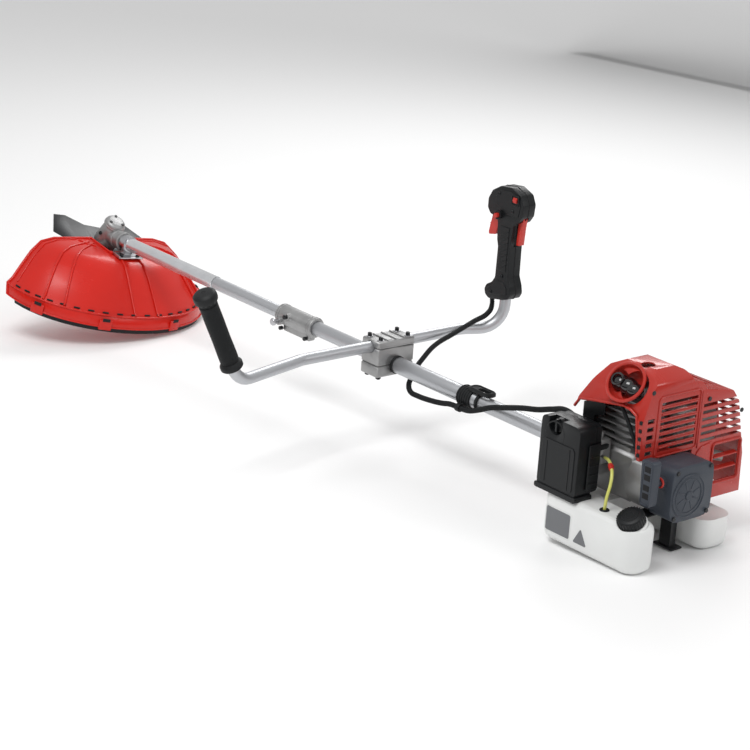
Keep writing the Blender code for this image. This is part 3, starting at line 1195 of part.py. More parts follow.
def starter(machine):
    half = STARTER_SIZE / 2
    low = (STARTER_CENTRE.x - half, STARTER_CENTRE.y - half)
    high = (STARTER_CENTRE.x + half, STARTER_CENTRE.y + half)
    start = FAN_HOUSING_END + GAP
    shell = prism("starter_housing", rounded(rectangle(low, high), 24 * MM, 4), start, STARTER_END,
                  "grey_plastic", machine, "YZ", 5 * MM)
    disc = rod("starter_disc", 37 * MM, (STARTER_END - 2 * MM, 0, 0), (STARTER_END + 1 * MM, 0, 0),
               None, machine, 24)
    boss = rod("rope_boss", 9 * MM, (ROPE_X, low[0] + 8 * MM, ROPE_Z),
               (ROPE_X, low[0] - 7 * MM, ROPE_Z), None, machine, 14)
    join(shell, disc, boss)
    room = rod("starter_room", REEL_RADIUS + 3 * MM, (start - 0.01, 0, 0),
               (STARTER_END - STARTER_WALL, 0, 0), None, machine, 22)
    rope_hole = rod("rope_hole", ROPE_RADIUS + 1 * MM, (ROPE_X, low[0] - 0.02, ROPE_Z),
                    (ROPE_X, 0, ROPE_Z), None, machine, 12)
    cut(shell, room, rope_hole)
    post = rod("reel_post", CRANK_RADIUS, (CRANK_END + 3 * MM, 0, 0), (STARTER_END - 1 * MM, 0, 0),
               None, machine, 14)
    join(shell, post)
    reel_axis = empty("reel_axis", machine, (ROPE_X, 0, 0))
    hole, core = CRANK_RADIUS + GAP, ROPE_Z - ROPE_RADIUS - 1.2 * MM
    turned("starter_reel", [(REEL_RADIUS, 8 * MM), (REEL_RADIUS, 6 * MM), (core, 5 * MM),
                            (core, -5 * MM), (REEL_RADIUS, -6 * MM),
                            (REEL_RADIUS, -8 * MM), (hole, -8 * MM), (hole,
                                                                      8 * MM)], "black_plastic", reel_axis, (0, 0, 0), "X", 20, closed=True)
    handle_axis = empty("rope_axis", machine, (ROPE_X, low[0] - 7 * MM, ROPE_Z))
    grip = prism("starter_handle", rounded([(-15 * MM, 44 * MM), (-11 * MM, -36 * MM),
                                            (11 * MM, -36 * MM), (13 * MM,
                                                                  44 * MM)], 7 * MM), -32 * MM, -14 * MM,
                 "grey_plastic", handle_axis, "XZ", 3 * MM)
    neck = rod("handle_neck", 6 * MM, (0, -18 * MM, 0), (0, -GAP - 0.5 * MM, 0), None, handle_axis, 12)
    rope = rod("handle_rope", ROPE_RADIUS, (0, -10 * MM, 0), (0, ROPE_LENGTH, 0), None, handle_axis, 10)
    join(grip, neck, rope)


ROPE_LENGTH = 66 * MM


def engine_stand(machine):
    top = -FAN_RADIUS - 5 * MM - GAP
    plate = box("engine_stand", (712 * MM, -50 * MM, top - 4 * MM), (742 * MM, 52 * MM, top),
                "black_steel", machine, 1.5 * MM)
    pieces = []
    for k, y in enumerate((-38 * MM, 38 * MM)):
        pieces.append(box(f"stand_leg_{k}", (715 * MM, y - 7 * MM, -STAND_DROP),
                          (739 * MM, y + 7 * MM, top - 2 * MM), None, machine))
        pieces.append(box(f"stand_foot_{k}", (708 * MM, y - 13 * MM, -STAND_DROP),
                          (750 * MM, y + 13 * MM, -STAND_DROP + 3 * MM), None, machine))
    join(plate, *pieces)


COVER_REAR_VIEW = mm_outline([
    (-62, -70), (-64, 118), (-50, 160), (-34, 188), (-18, 197), (24, 197), (40, 190), (50, 172), (72,
                                                                                                  168), (84, 152), (150, 140),
    (168, 118), (182, 60), (192, 20), (195, -70)])
COVER_SIDE_VIEW = mm_outline([
    (578, -70), (578, 92), (588, 122), (604, 152), (626, 184), (648, 196), (668, 200), (712, 197), (737,
                                                                                                    180), (737, -70)])


RECESS_SEAT = PLUG_SEAT + Vector((36 * MM, 0, 0))


def inset(outline, distance):
    """The outline moved inward by a distance, corner by corner."""
    area = sum(a[0] * b[1] - b[0] * a[1] for a, b in zip(outline, outline[1:] + outline[:1]))
    side = 1 if area > 0 else -1
    points = []
    for i, corner in enumerate(outline):
        corner = Vector(corner)
        into = (corner - Vector(outline[i - 1])).normalized()
        out = (Vector(outline[(i + 1) % len(outline)]) - corner).normalized()
        normal = Vector((-into.y - out.y, into.x + out.x)).normalized() * side
        reach = distance / max(0.4, abs(normal.dot(Vector((-into.y, into.x)))))
        points.append(tuple(corner + normal * reach))
    return points


def cover_form(name, distance, finish, machine):
    """The cover's outer form, or its hollow when inset: the rear view and the side view in one."""
    rear = rounded(inset(COVER_REAR_VIEW, distance), 8 * MM, 2)
    side = rounded(inset(COVER_SIDE_VIEW, distance), 8 * MM, 2)
    form = prism(name, rear, COVER_FRONT - 0.02, COVER_REAR + 0.02, finish, machine, "YZ")
    across = prism(name + "_side", side, -0.1, 0.24, None, machine, "XZ")
    return combine(form, across, "INTERSECT")


def engine_cover(machine):
    cover = cover_form("engine_cover", 0.0, "red_cover", machine)
    hollow = cover_form("cover_hollow", COVER_WALL, None, machine)
    cut(cover, hollow)
    rear, front = COVER_REAR, COVER_FRONT
    mouth = prism("cover_mouth", mm_outline([(560, -80), (560, 100), (590, 116), (640, 126), (690, 136),
                                             (722, 128), (731, 46), (731, -80)]),
                  -0.1, -40 * MM, None, machine)
    underside = box("cover_underside", (front - 0.02, -0.1, -0.12), (rear + 0.02, 62 * MM, 52 * MM),
                    None, machine)
    floor = box("cover_floor", (front - 0.02, 0.05, -0.12), (rear + 0.02, 0.24, -50 * MM), None, machine)
    gable = box("cover_front_mouth", (front - 0.02, -0.1, -0.12), (front + 40 * MM, 46 * MM, 92 * MM),
                None, machine)
    tube_side = box("cover_front_low", (front - 0.02, 30 * MM, -0.12),
                    (front + 62 * MM, 0.24, -22 * MM), None, machine)
    recess = rod("plug_recess", 28 * MM, RECESS_SEAT + PLUG_AIM * 20 * MM,
                 RECESS_SEAT + PLUG_AIM * 100 * MM, None, machine, 22)
    recess_front = rod("plug_recess_front", 19 * MM, PLUG_SEAT + PLUG_AIM * 20 * MM, PLUG_SEAT + PLUG_AIM * 100 * MM,
                       None, machine, 22)
    top_hole = rod("cover_top_hole", 12 * MM, (688 * MM, -12 * MM, 0.19), (688 * MM, -12 * MM, 0.22),
                   None, machine, 18)
    cut(cover, mouth, underside, floor, gable, tube_side, recess, recess_front, top_hole)
    join(cover, box("cover_foot", (rear - 12 * MM, -12 * MM, FAN_RADIUS + 5 * MM + GAP),
                    (rear - 1 * MM, 12 * MM, 62 * MM), None, machine))
    for k in range(8):
        z = 60 * MM + k * 11.5 * MM
        cut(cover, box(f"rear_slot_{k}", (rear - 0.02, -22 * MM, z),
                       (rear + 0.01, 64 * MM, z + 5.5 * MM), None, machine))
    for k in range(6):
        z = 58 * MM + k * 12.5 * MM
        cut(cover, box(f"corner_slot_{k}", (rear - 0.05, 80 * MM, z), (rear + 0.01, 0.24, z + 6 * MM),
                       None, machine))
    for k in range(5):
        z = 58 * MM + k * 14 * MM
        cut(cover, box(f"edge_slot_{k}", (rear - 0.02, -52 * MM, z),
                       (rear + 0.01, -36 * MM, z + 8 * MM), None, machine))
    cut(cover, box("muffler_window", (rear - 0.02, 118 * MM, -20 * MM),
                   (rear + 0.01, 180 * MM, 46 * MM), None, machine))
    for k in range(5):
        y = 74 * MM + k * 14 * MM
        cut(cover, box(f"top_vent_{k}", (640 * MM, y, 0.12), (706 * MM, y + 6 * MM, 0.17), None, machine))


# ---------------------------------------------------------------- assembly

def support_tilt():
    """The pitch that lets the guard skirt and the engine stand touch the same ground."""
    turn = Matrix.Rotation(HEAD_ROLL, 3, "X") @ Matrix.Rotation(GUARD_LEAN, 3, "Y")
    rim = [turn @ rim_place(SKIRT_RADIUS, SKIRT_BOTTOM, math.radians(angle)) for angle in range(-84, 85, 4)]
    lowest = min(rim, key=lambda point: point.z)
    skirt_x, skirt_z = GEAR_X + lowest.x, lowest.z
    stand_x = 0.5 * (708 * MM + 750 * MM)
    return math.atan2(-STAND_DROP - skirt_z, stand_x - skirt_x)


def rest_on_ground(machine):
    """Moves the machine so that the origin is at the bottom centre of its bounding box."""
    bpy.context.view_layer.update()
    graph = bpy.context.evaluated_depsgraph_get()
    corners = []
    for obj in PARTS.objects:
        if obj.type != "MESH":
            continue
        evaluated = obj.evaluated_get(graph)
        corners += [evaluated.matrix_world @ vert.co for vert in evaluated.data.vertices]
    low = Vector([min(point[i] for point in corners) for i in range(3)])
    high = Vector([max(point[i] for point in corners) for i in range(3)])
    machine.location -= Vector(((low.x + high.x) / 2, (low.y + high.y) / 2, low.z))


def build():
    machine = empty("machine", None, (0, 0, 0), (0, support_tilt(), 0))
    head_roll = empty("head_roll", machine, (GEAR_X, 0, 0), (HEAD_ROLL, 0, 0))
    head = empty("head_frame", head_roll, (0, 0, 0), (0, SPINDLE_LEAN, 0))
    crank_axis = empty("crank_axis", machine)
    drive_tube(machine)
    coupler(machine)
    hanger_band(machine)
    gear_case(head)
    spindle_parts(head)
    drive_line(machine)
    guard_frame = empty("guard_frame", head_roll, (0, 0, 0), (0, GUARD_LEAN, 0))
    guard(guard_frame)
    guard_bracket(guard_frame)
    handlebar(machine)
    handle_clamp(machine)
    throttle_grip(machine)
    throttle_controls(machine)
    throttle_conduit(machine)
    clutch(machine, crank_axis)
    crank_parts(crank_axis)
    crankcase(machine)
    cylinder(machine)
    ignition(machine)
    exhaust(machine)
    carburettor(machine)
    air_cleaner(machine)
    choke_lever(machine)
    fuel_tank(machine)
    fuel_hose(machine)
    starter(machine)
    engine_stand(machine)
    engine_cover(machine)
    rest_on_ground(machine)


clear_scene()
PARTS = new_collection("brush_mower")
CUTTERS = new_collection("cutters", hidden=True)
build()
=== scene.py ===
"""A petrol brush mower on a pale floor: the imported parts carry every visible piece."""
import json
import math

import bpy
from mathutils import Matrix, Vector

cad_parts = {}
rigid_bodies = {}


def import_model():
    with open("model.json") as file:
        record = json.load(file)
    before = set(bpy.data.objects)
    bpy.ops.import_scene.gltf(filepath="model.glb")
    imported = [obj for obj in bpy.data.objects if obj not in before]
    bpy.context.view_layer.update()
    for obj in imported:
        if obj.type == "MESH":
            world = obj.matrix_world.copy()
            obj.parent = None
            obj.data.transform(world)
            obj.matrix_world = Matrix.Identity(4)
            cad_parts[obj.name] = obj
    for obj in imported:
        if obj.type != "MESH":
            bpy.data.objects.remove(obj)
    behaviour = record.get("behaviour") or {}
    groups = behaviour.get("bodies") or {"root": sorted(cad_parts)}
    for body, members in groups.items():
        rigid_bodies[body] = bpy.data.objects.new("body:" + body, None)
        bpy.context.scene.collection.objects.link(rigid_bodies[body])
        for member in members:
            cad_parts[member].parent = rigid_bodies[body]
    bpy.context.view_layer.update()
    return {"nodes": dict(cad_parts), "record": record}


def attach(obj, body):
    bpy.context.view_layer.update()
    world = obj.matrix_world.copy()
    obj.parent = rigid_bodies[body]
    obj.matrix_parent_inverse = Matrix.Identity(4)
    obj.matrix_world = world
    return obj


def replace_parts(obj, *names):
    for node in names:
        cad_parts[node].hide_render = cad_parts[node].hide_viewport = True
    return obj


for old in list(bpy.data.objects):
    bpy.data.objects.remove(old)

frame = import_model()
NODES = frame["nodes"]

# The machine's own frame: X along the drive tube from the handle clamp, in mm once scaled
MM = Matrix.Scale(0.001, 4)
MACHINE = Matrix.Translation((0.118252, 0.1005, 0.153085)) @ Matrix.Rotation(math.radians(2.2873), 4, "Y")
ROLLED = MACHINE @ Matrix.Translation((-0.93, 0, 0)) @ Matrix.Rotation(math.radians(-8), 4, "X")
HEAD = ROLLED @ Matrix.Rotation(math.radians(30), 4, "Y")
GUARD = ROLLED @ Matrix.Rotation(math.radians(9), 4, "Y")


# ---------------------------------------------------------------- materials

def material(name, colour, rough, metal=0.0, grain=(400, 0.05), mottle=(9, 0.06), coat=0.0, streak=None,
             soft=0.0):
    """A moulded, cast or drawn finish: fine grain in the surface and a slow drift in its tone."""
    mat = bpy.data.materials.new(name)
    mat.use_nodes = True
    tree = mat.node_tree
    shader = tree.nodes["Principled BSDF"]
    shader.inputs["Metallic"].default_value = metal
    shader.inputs["Coat Weight"].default_value = coat
    shader.inputs["Coat Roughness"].default_value = 0.12
    shader.inputs["Subsurface Weight"].default_value = soft
    shader.inputs["Subsurface Radius"].default_value = (0.02, 0.02, 0.02)
    coords = tree.nodes.new("ShaderNodeTexCoord")
    stretch = tree.nodes.new("ShaderNodeMapping")
    stretch.inputs["Scale"].default_value = streak or (1, 1, 1)
    tree.links.new(coords.outputs["Object"], stretch.inputs["Vector"])
    drift = tree.nodes.new("ShaderNodeTexNoise")
    drift.inputs["Scale"].default_value = mottle[0]
    drift.inputs["Detail"].default_value = 5
    tree.links.new(stretch.outputs["Vector"], drift.inputs["Vector"])
    tone = tree.nodes.new("ShaderNodeValToRGB")
    low, high = 1 - mottle[1], 1 + mottle[1]
    tone.color_ramp.elements[0].position = 0.3
    tone.color_ramp.elements[1].position = 0.7
    tone.color_ramp.elements[0].color = (*[c * low for c in colour], 1)
    tone.color_ramp.elements[1].color = (*[min(1, c * high) for c in colour], 1)
    tree.links.new(drift.outputs["Fac"], tone.inputs["Fac"])
    tree.links.new(tone.outputs["Color"], shader.inputs["Base Color"])
    spread = tree.nodes.new("ShaderNodeMapRange")
    spread.inputs["To Min"].default_value = rough * 0.85
    spread.inputs["To Max"].default_value = min(1, rough * 1.2)
    tree.links.new(drift.outputs["Fac"], spread.inputs["Value"])
    tree.links.new(spread.outputs["Result"], shader.inputs["Roughness"])
    fine = tree.nodes.new("ShaderNodeTexNoise")
    fine.inputs["Scale"].default_value = grain[0]
    fine.inputs["Detail"].default_value = 3
    tree.links.new(stretch.outputs["Vector"], fine.inputs["Vector"])
    bump = tree.nodes.new("ShaderNodeBump")
    bump.inputs["Strength"].default_value = grain[1]
    bump.inputs["Distance"].default_value = 0.0008
    tree.links.new(fine.outputs["Fac"], bump.inputs["Height"])
    tree.links.new(bump.outputs["Normal"], shader.inputs["Normal"])
    return mat


FINISH = {
    "red_cover": material("cover red", (0.44, 0.026, 0.017), 0.26, coat=0.3, grain=(900, 0.03),
                          mottle=(14, 0.05)),
    "red_guard": material("guard red", (0.60, 0.014, 0.007), 0.26, coat=0.15, grain=(700, 0.03),
                          mottle=(10, 0.05)),
    "red_button": material("button red", (0.55, 0.03, 0.02), 0.32),
    "black_plastic": material("moulded black", (0.007, 0.008, 0.009), 0.36, grain=(1500, 0.18)),
    "grey_plastic": material("moulded grey", (0.045, 0.053, 0.068), 0.36, grain=(1500, 0.12)),
    "black_steel": material("black steel", (0.01, 0.011, 0.013), 0.34, 0.2, grain=(600, 0.08)),
    "bright_tube": material("drawn tube", (0.50, 0.51, 0.53), 0.42, 0.9, grain=(220, 0.05),
                            streak=(0.05, 1, 1)),
    "cast_aluminium": material("cast aluminium", (0.36, 0.36, 0.36), 0.44, 0.85, grain=(750, 0.35),
                               mottle=(30, 0.12)),
    "steel": material("turned steel", (0.5, 0.5, 0.52), 0.28, 1.0, grain=(500, 0.08)),
    "tank_plastic": material("milky plastic", (0.80, 0.81, 0.80), 0.32, soft=0.15, grain=(300, 0.04),
                             mottle=(12, 0.03)),
    "rubber": material("black rubber", (0.009, 0.01, 0.011), 0.5, grain=(1300, 0.3)),
    "fuel_hose": material("fuel hose", (0.66, 0.66, 0.16), 0.3, soft=0.2),
    "foam": material("grip foam", (0.006, 0.007, 0.008), 0.66, grain=(2200, 0.7)),
    "label": material("bare label", (0.16, 0.165, 0.175), 0.45, grain=(900, 0.05)),
    "film": material("film sleeve", (0.66, 0.67, 0.69), 0.2, 0.7, coat=0.5, grain=(60, 0.25),
                     mottle=(40, 0.05)),
    "bare_steel": material("heat-stained steel", (0.28, 0.27, 0.26), 0.45, 0.9, grain=(500, 0.2),
                           mottle=(30, 0.25)),
    "boot": material("glossy boot", (0.008, 0.008, 0.009), 0.12, coat=0.6, grain=(200, 0.02)),
    # Painted shade: a near-black fill standing in for the shade inside slots, sockets, vents, pockets,
    # windows and holes; the throttle shell's seam line is drawn with it too
    "shadow": material("painted shade in openings", (0.006, 0.006, 0.007), 0.8),
}
# Moulded and painted finishes mirror less of the pale room than bare metal does
DULL_SHINE = 0.28
for key in ("black_plastic", "rubber", "foam", "grey_plastic", "red_guard", "red_cover"):
    shader = next(n for n in FINISH[key].node_tree.nodes if n.type == "BSDF_PRINCIPLED")
    shader.inputs["Specular IOR Level"].default_value = DULL_SHINE
SPECIAL = {"left_grip": "foam", "muffler": "bare_steel"}
EDGE = {"engine_cover": 0.0011, "guard": 0.0006, "fuel_tank": 0.0012, "throttle_grip": 0.001,
        "air_cleaner_cover": 0.001,
        "starter_housing": 0.001, "gear_case": 0.0009, "crankcase": 0.0009}


def dress_parts():
    """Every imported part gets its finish, softened edges and smooth shading."""
    slots = {entry["node"]: entry["material_slot"] for entry in frame["record"]["subparts"]}
    for name, node in NODES.items():
        node.data.materials.clear()
        node.data.materials.append(FINISH[SPECIAL.get(name, slots[name])])
        for face in node.data.polygons:
            face.use_smooth = True
        weld = node.modifiers.new("Weld", "WELD")
        weld.merge_threshold = 0.00001
        edge = node.modifiers.new("Edge", "BEVEL")
        edge.width = EDGE.get(name, 0.0004)
        edge.segments = 2
        edge.limit_method = "ANGLE"
        edge.angle_limit = math.radians(38)
        split = node.modifiers.new("Split", "EDGE_SPLIT")
        split.split_angle = math.radians(36)


# ---------------------------------------------------------------- shapes

def activate(obj):
    """Make one object the selected and active one."""
    bpy.ops.object.select_all(action="DESELECT")
    obj.select_set(True)
    bpy.context.view_layer.objects.active = obj
    return obj


def applied(obj):
    """The object as a plain mesh with its modifiers and curve settings worked in."""
    activate(obj)
    bpy.ops.object.convert(target="MESH")
    return bpy.context.view_layer.objects.active


def block(low, high, bevel=0.8, turn=None):
    """A rounded box between two corners, turned about its own middle."""
    low, high = Vector(low), Vector(high)
    bpy.ops.mesh.primitive_cube_add(size=1)
    obj = bpy.context.object
    obj.scale = high - low
    bpy.ops.object.transform_apply(location=False, rotation=False, scale=True)
    if bevel:
        edge = obj.modifiers.new("Edge", "BEVEL")
        edge.width = bevel
        edge.segments = 3
    obj = applied(obj)
    if turn is not None:
        obj.data.transform(turn)
    obj.data.transform(Matrix.Translation((low + high) / 2))
    return obj


def along(start, end):
    """The matrix that takes +Z onto the line from start to end."""
    start, end = Vector(start), Vector(end)
    return Matrix.Translation(start) @ (end - start).to_track_quat("Z", "Y").to_matrix().to_4x4()


def turned(profile, place=Matrix.Identity(4), steps=40):
    """A (radius, height) profile turned round Z."""
    mesh = bpy.data.meshes.new("profile")
    mesh.from_pydata([(r, 0, h) for r, h in profile], [(i, i + 1) for i in range(len(profile) - 1)], [])
    obj = bpy.data.objects.new("profile", mesh)
    bpy.context.scene.collection.objects.link(obj)
    screw = obj.modifiers.new("Turn", "SCREW")
    screw.steps = screw.render_steps = steps
    screw.use_merge_vertices = True
    screw.merge_threshold = 0.001
    screw.use_normal_calculate = True
    obj = applied(obj)
    activate(obj)
    bpy.ops.object.mode_set(mode="EDIT")
    bpy.ops.mesh.select_all(action="SELECT")
    bpy.ops.mesh.normals_make_consistent(inside=False)
    bpy.ops.object.mode_set(mode="OBJECT")
    obj.data.transform(place)
    return obj


def disc(radius, start, end, edge=0.6, steps=32):
    """A short cylinder with a softened rim."""
    length = (Vector(end) - Vector(start)).length
    edge = min(edge, length * 0.45, radius * 0.45)
    profile = [(0, 0), (radius - edge, 0), (radius, edge), (radius, length - edge),
               (radius - edge, length), (0, length)]
    return turned(profile, along(start, end), steps)


def ring(major, minor, centre, axis, segments=48):
    """A torus about an axis, its tube round."""
    bpy.ops.mesh.primitive_torus_add(major_radius=major, minor_radius=minor, major_segments=segments,
                                     minor_segments=10)
    obj = bpy.context.object
    obj.data.transform(along(centre, Vector(centre) + Vector(axis)))
    return obj


def tube(points, radius, closed=False, smooth=False, resolution=4):
    """A round wire through the points."""
    curve = bpy.data.curves.new("wire", "CURVE")
    curve.dimensions = "3D"
    curve.bevel_depth = radius
    curve.bevel_resolution = resolution
    curve.use_fill_caps = True
    if smooth:
        spline = curve.splines.new("BEZIER")
        spline.bezier_points.add(len(points) - 1)
        for knot, point in zip(spline.bezier_points, points):
            knot.co = point
            knot.handle_left_type = knot.handle_right_type = "AUTO"
        curve.resolution_u = 6
    else:
        spline = curve.splines.new("POLY")
        spline.points.add(len(points) - 1)
        for knot, point in zip(spline.points, points):
            knot.co = (*point, 1)
    spline.use_cyclic_u = closed
    obj = bpy.data.objects.new("wire", curve)
    bpy.context.scene.collection.objects.link(obj)
    return obj


PLANES = {"XY": Matrix.Identity(4), "XZ": Matrix.Rotation(math.pi / 2, 4, "X"),
          "YZ": Matrix(((0, 0, 1, 0), (1, 0, 0, 0), (0, 1, 0, 0), (0, 0, 0, 1)))}


def plate(outline, depth, thickness, plane, bevel=0.5, holes=()):
    """A flat plate with rounded edges: its outline in a plane, its middle at that depth."""
    curve = bpy.data.curves.new("plate", "CURVE")
    curve.dimensions = "2D"
    curve.fill_mode = "BOTH"
    curve.extrude = thickness / 2 - bevel
    curve.bevel_depth = bevel
    curve.bevel_resolution = 2
    curve.offset = -bevel
    for loop in (outline, *holes):
        spline = curve.splines.new("POLY")
        spline.points.add(len(loop) - 1)
        for knot, point in zip(spline.points, loop):
            knot.co = (*point, 0, 1)
        spline.use_cyclic_u = True
    obj = bpy.data.objects.new("plate", curve)
    bpy.context.scene.collection.objects.link(obj)
    obj = applied(obj)
    sign = -1 if plane == "XZ" else 1
    obj.data.transform(PLANES[plane] @ Matrix.Translation((0, 0, sign * depth)))
    return obj


def rounded(low, high, radius, steps=5):
    """A rounded rectangle's outline."""
    points = []
    for cx, cy, start in ((high[0] - radius, high[1] - radius, 0),
                          (low[0] + radius, high[1] - radius, 90),
                          (low[0] + radius, low[1] + radius, 180),
                          (high[0] - radius, low[1] + radius, 270)):
        for k in range(steps + 1):
            angle = math.radians(start + 90 * k / steps)
            points.append((cx + radius * math.cos(angle), cy + radius * math.sin(angle)))
    return points


def carve(obj, *cutters):
    """Cut one shape out of another and apply the cut."""
    for cutter in cutters:
        cutter = applied(cutter)
        hole = obj.modifiers.new("Hole", "BOOLEAN")
        hole.operation = "DIFFERENCE"
        hole.solver = "EXACT"
        hole.object = cutter
        obj = applied(obj)
        bpy.data.objects.remove(cutter)
    return obj


def piece(name, shapes, finish, body="frame", place=MACHINE, angle=35):
    """Joins the shapes, sets them in the row frame and hands them to a body."""
    shapes = [applied(shape) for shape in shapes]
    bpy.ops.object.select_all(action="DESELECT")
    for shape in shapes:
        shape.select_set(True)
    bpy.context.view_layer.objects.active = shapes[0]
    if len(shapes) > 1:
        bpy.ops.object.join()
    obj = bpy.context.view_layer.objects.active
    obj.name = name
    obj.data.name = name
    obj.data.transform(place @ MM)
    activate(obj)
    bpy.ops.object.shade_smooth_by_angle(angle=math.radians(angle))
    obj.data.materials.clear()
    obj.data.materials.append(FINISH[finish])
    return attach(obj, body)


# ---------------------------------------------------------------- blade guard and gear head

DEPTH, HALF_WIDTH = 187, 240
DOME = [(30, -14), (100, -15), (125, -22), (144, -42), (161, -68), (178, -95), (187, -104), (187.1, -128)]


def dome_height(radius):
    """Height of the guard's dome at a distance out from its centre."""
    for (a, high), (b, low) in zip(DOME, DOME[1:]):
        if radius <= b:
            return high + (low - high) * (radius - a) / (b - a)
    return DOME[-1][1]


def on_guard(radius, height, degrees, lift=0.0):
    """A place on the guard: its profile point carried round behind the raked front edge."""
    angle = math.radians(degrees)
    out = radius + lift
    front = -14 + 0.36 * (-14 - height)
    return Vector((front + out * math.cos(angle), out * math.sin(angle) * HALF_WIDTH / DEPTH,
                   height + lift * 0.4))


def facing(spot, degrees):
    """Turns a small part built facing +X so that it stands on the guard's wall at that angle."""
    angle = math.radians(degrees)
    normal = math.atan2(math.sin(angle) * DEPTH / HALF_WIDTH, math.cos(angle))
    return Matrix.Translation(spot) @ Matrix.Rotation(normal, 4, "Z")


def guard_details():
    """Ribs, rim clips, their windows and the slots along the guard's rim."""
    rims = []
    for side in (-90, 90):
        edge = [on_guard(r, dome_height(r), side) for r in (26, 60, 100, 113, 125, 135, 144, 153, 161,
                                                            170, 178, 187)]
        rims.append(tube(edge + [on_guard(187, -116, side), on_guard(187, -127.5, side)], 3.2))
        ledge = [on_guard(r, dome_height(r), side * 0.93, 0.6) for r in (60, 100, 113, 125, 135, 144, 153,
                                                                         161, 170, 178)]
        rims.append(tube(ledge, 1.6))
    rims.append(tube([on_guard(187, -104, a) for a in range(-90, 91, 3)], 2.0))
    rims.append(tube([on_guard(187, -127.4, a) for a in range(-90, 91, 3)], 1.7))
    for degrees in (-60, -47, -7, 7, 47, 60):
        start = 78 if abs(degrees) < 10 else 44
        bow = [start, 90, 100, 108, 116, 125, 135, 144, 153, 161, 170, 178, 185]
        swing = -5 if degrees < 0 else 5
        ridge = [on_guard(r, dome_height(r), degrees + swing * (1 - r / DEPTH),
                          1.4) for r in bow if r >= start]
        rims.append(tube(ridge, 2.5))
    rims.append(tube([on_guard(56, -14, a, 0.5) for a in range(-80, -39, 5)], 2.0))
    rims.append(tube([on_guard(56, -14, a, 0.5) for a in range(40, 81, 5)], 2.0))
    notch = [(66, -33, -13), (67, 0, -13), (66, 33, -13)]
    rims.append(tube([(-12, -33, -13.6), *notch, (-12, 33, -13.6)], 2.2))
    rims.append(block((64, -36, -18), (72, -30, -9), 1.5))
    rims.append(block((64, 30, -18), (72, 36, -9), 1.5))
    piece("guard_ridges", rims, "red_guard", place=GUARD)
    tabs, windows, slots = [], [], []
    for degrees in (-63, -24, 18, 63):
        spot = on_guard(188.5, -121, degrees)
        place = facing(spot, degrees)
        for part, group in ((block((-2, -14, -13), (2.6, 14, 9), 1.4), tabs),
                            (block((1.8, -8, 6), (3.6, 8, 13), 0.5), windows)):
            part.data.transform(place)
            group.append(part)
    for degrees in range(-80, 81, 8):
        slot_at = block((-1, -6.5, -1.6), (1.6, 6.5, 1.6), 0.6)
        slot_at.data.transform(facing(on_guard(183.5, -100, degrees, 0.8), degrees))
        slots.append(slot_at)
    piece("guard_clips", tabs, "red_guard", place=GUARD)
    piece("clip_windows", windows, "shadow", place=GUARD)
    piece("guard_slots", slots, "shadow", place=GUARD)


def head_details():
    """The gear case's cap, screws and socket bands, and the bracket's lips."""
    cap = turned([(0, 42.5), (14, 42.5), (18.5, 41), (21.5, 38), (22.4, 35.5), (22.4, 33), (23.6, 32.4),
                  (23.6, 30), (22.8, 29)])
    collar = turned([(23.2, -12), (24.8, -13), (25.2, -16), (25.2, -19), (24, -21.4), (18, -21.8)])
    piece("case_cap", [cap, collar], "cast_aluminium", place=HEAD)
    screws = []
    for k in range(3):
        angle = math.radians(40 + 120 * k)
        spot = Vector((15.5 * math.cos(angle), 15.5 * math.sin(angle), 41))
        head = disc(3.2, spot, spot + Vector((0, 0, 3)))
        screws.append(carve(head, disc(1.5, spot + Vector((0, 0, 1.6)), spot + Vector((0, 0, 5)), 0, 6)))
    screws.append(disc(4.2, (0, -21, 6), (0, -27, 6), 0.8, 6))
    piece("case_screws", screws, "black_steel", place=HEAD)
    lean = Matrix.Rotation(math.radians(-30), 4, "Y")
    bands = [turned([(18, a), (20, a + 1), (20.6, a + 3), (20.6, a + 6), (20, a + 8), (18, a + 9)],
                    lean @ Matrix.Rotation(math.pi / 2, 4, "Y")) for a in (30, 52)]
    piece("socket_bands", bands, "cast_aluminium", place=HEAD)
    edge = [block((70, -31, -14), (98, -29, -8), 0.6), block((70, 29, -14), (98, 31, -8), 0.6)]
    piece("bracket_lips", edge, "steel", place=GUARD)


# ---------------------------------------------------------------- drive tube

def tube_details():
    """The film sleeve, end rings and bands on the drive tubes and coupler."""
    axis = Matrix.Rotation(math.pi / 2, 4, "Y")
    film = turned([(13.2, -846), (14.4, -845), (14.4, -700), (14.6, -640), (14.4, -531), (13.2, -530)],
                  axis, 48)
    piece("film_sleeve", [film], "film")
    rings = []
    for x in (47, 283):
        rings.append(turned([(15.9, x), (17.2, x + 0.8), (17.6, x + 3), (17.2, x + 6), (15.9, x + 7)],
                            axis, 48))
    piece("sleeve_rings", rings, "rubber")
    grooves = [ring(19.6, 0.9, (x, 0, 0), (1, 0, 0)) for x in (241, 247, 253, 259, 265)]
    eye = [(x, y, 24.2) for x, y in rounded((261, -10), (313, 10), 9.5)]
    grooves.append(tube(eye, 1.6, closed=True))
    piece("band_grooves", grooves, "rubber")
    ribs = []
    for x in (-302, -296, -206, -200):
        ribs.append(ring(19.6, 1.3, (x, 0, 0), (1, 0, 0)))
    piece("coupler_ribs", ribs, "cast_aluminium")
    screws = []
    for x in (-290, -212):
        screws.append(disc(4, (x, -10, -24), (x, -18, -24), 0.8))
    piece("coupler_screws", screws, "black_steel")


# ---------------------------------------------------------------- handlebar, clamp and grips

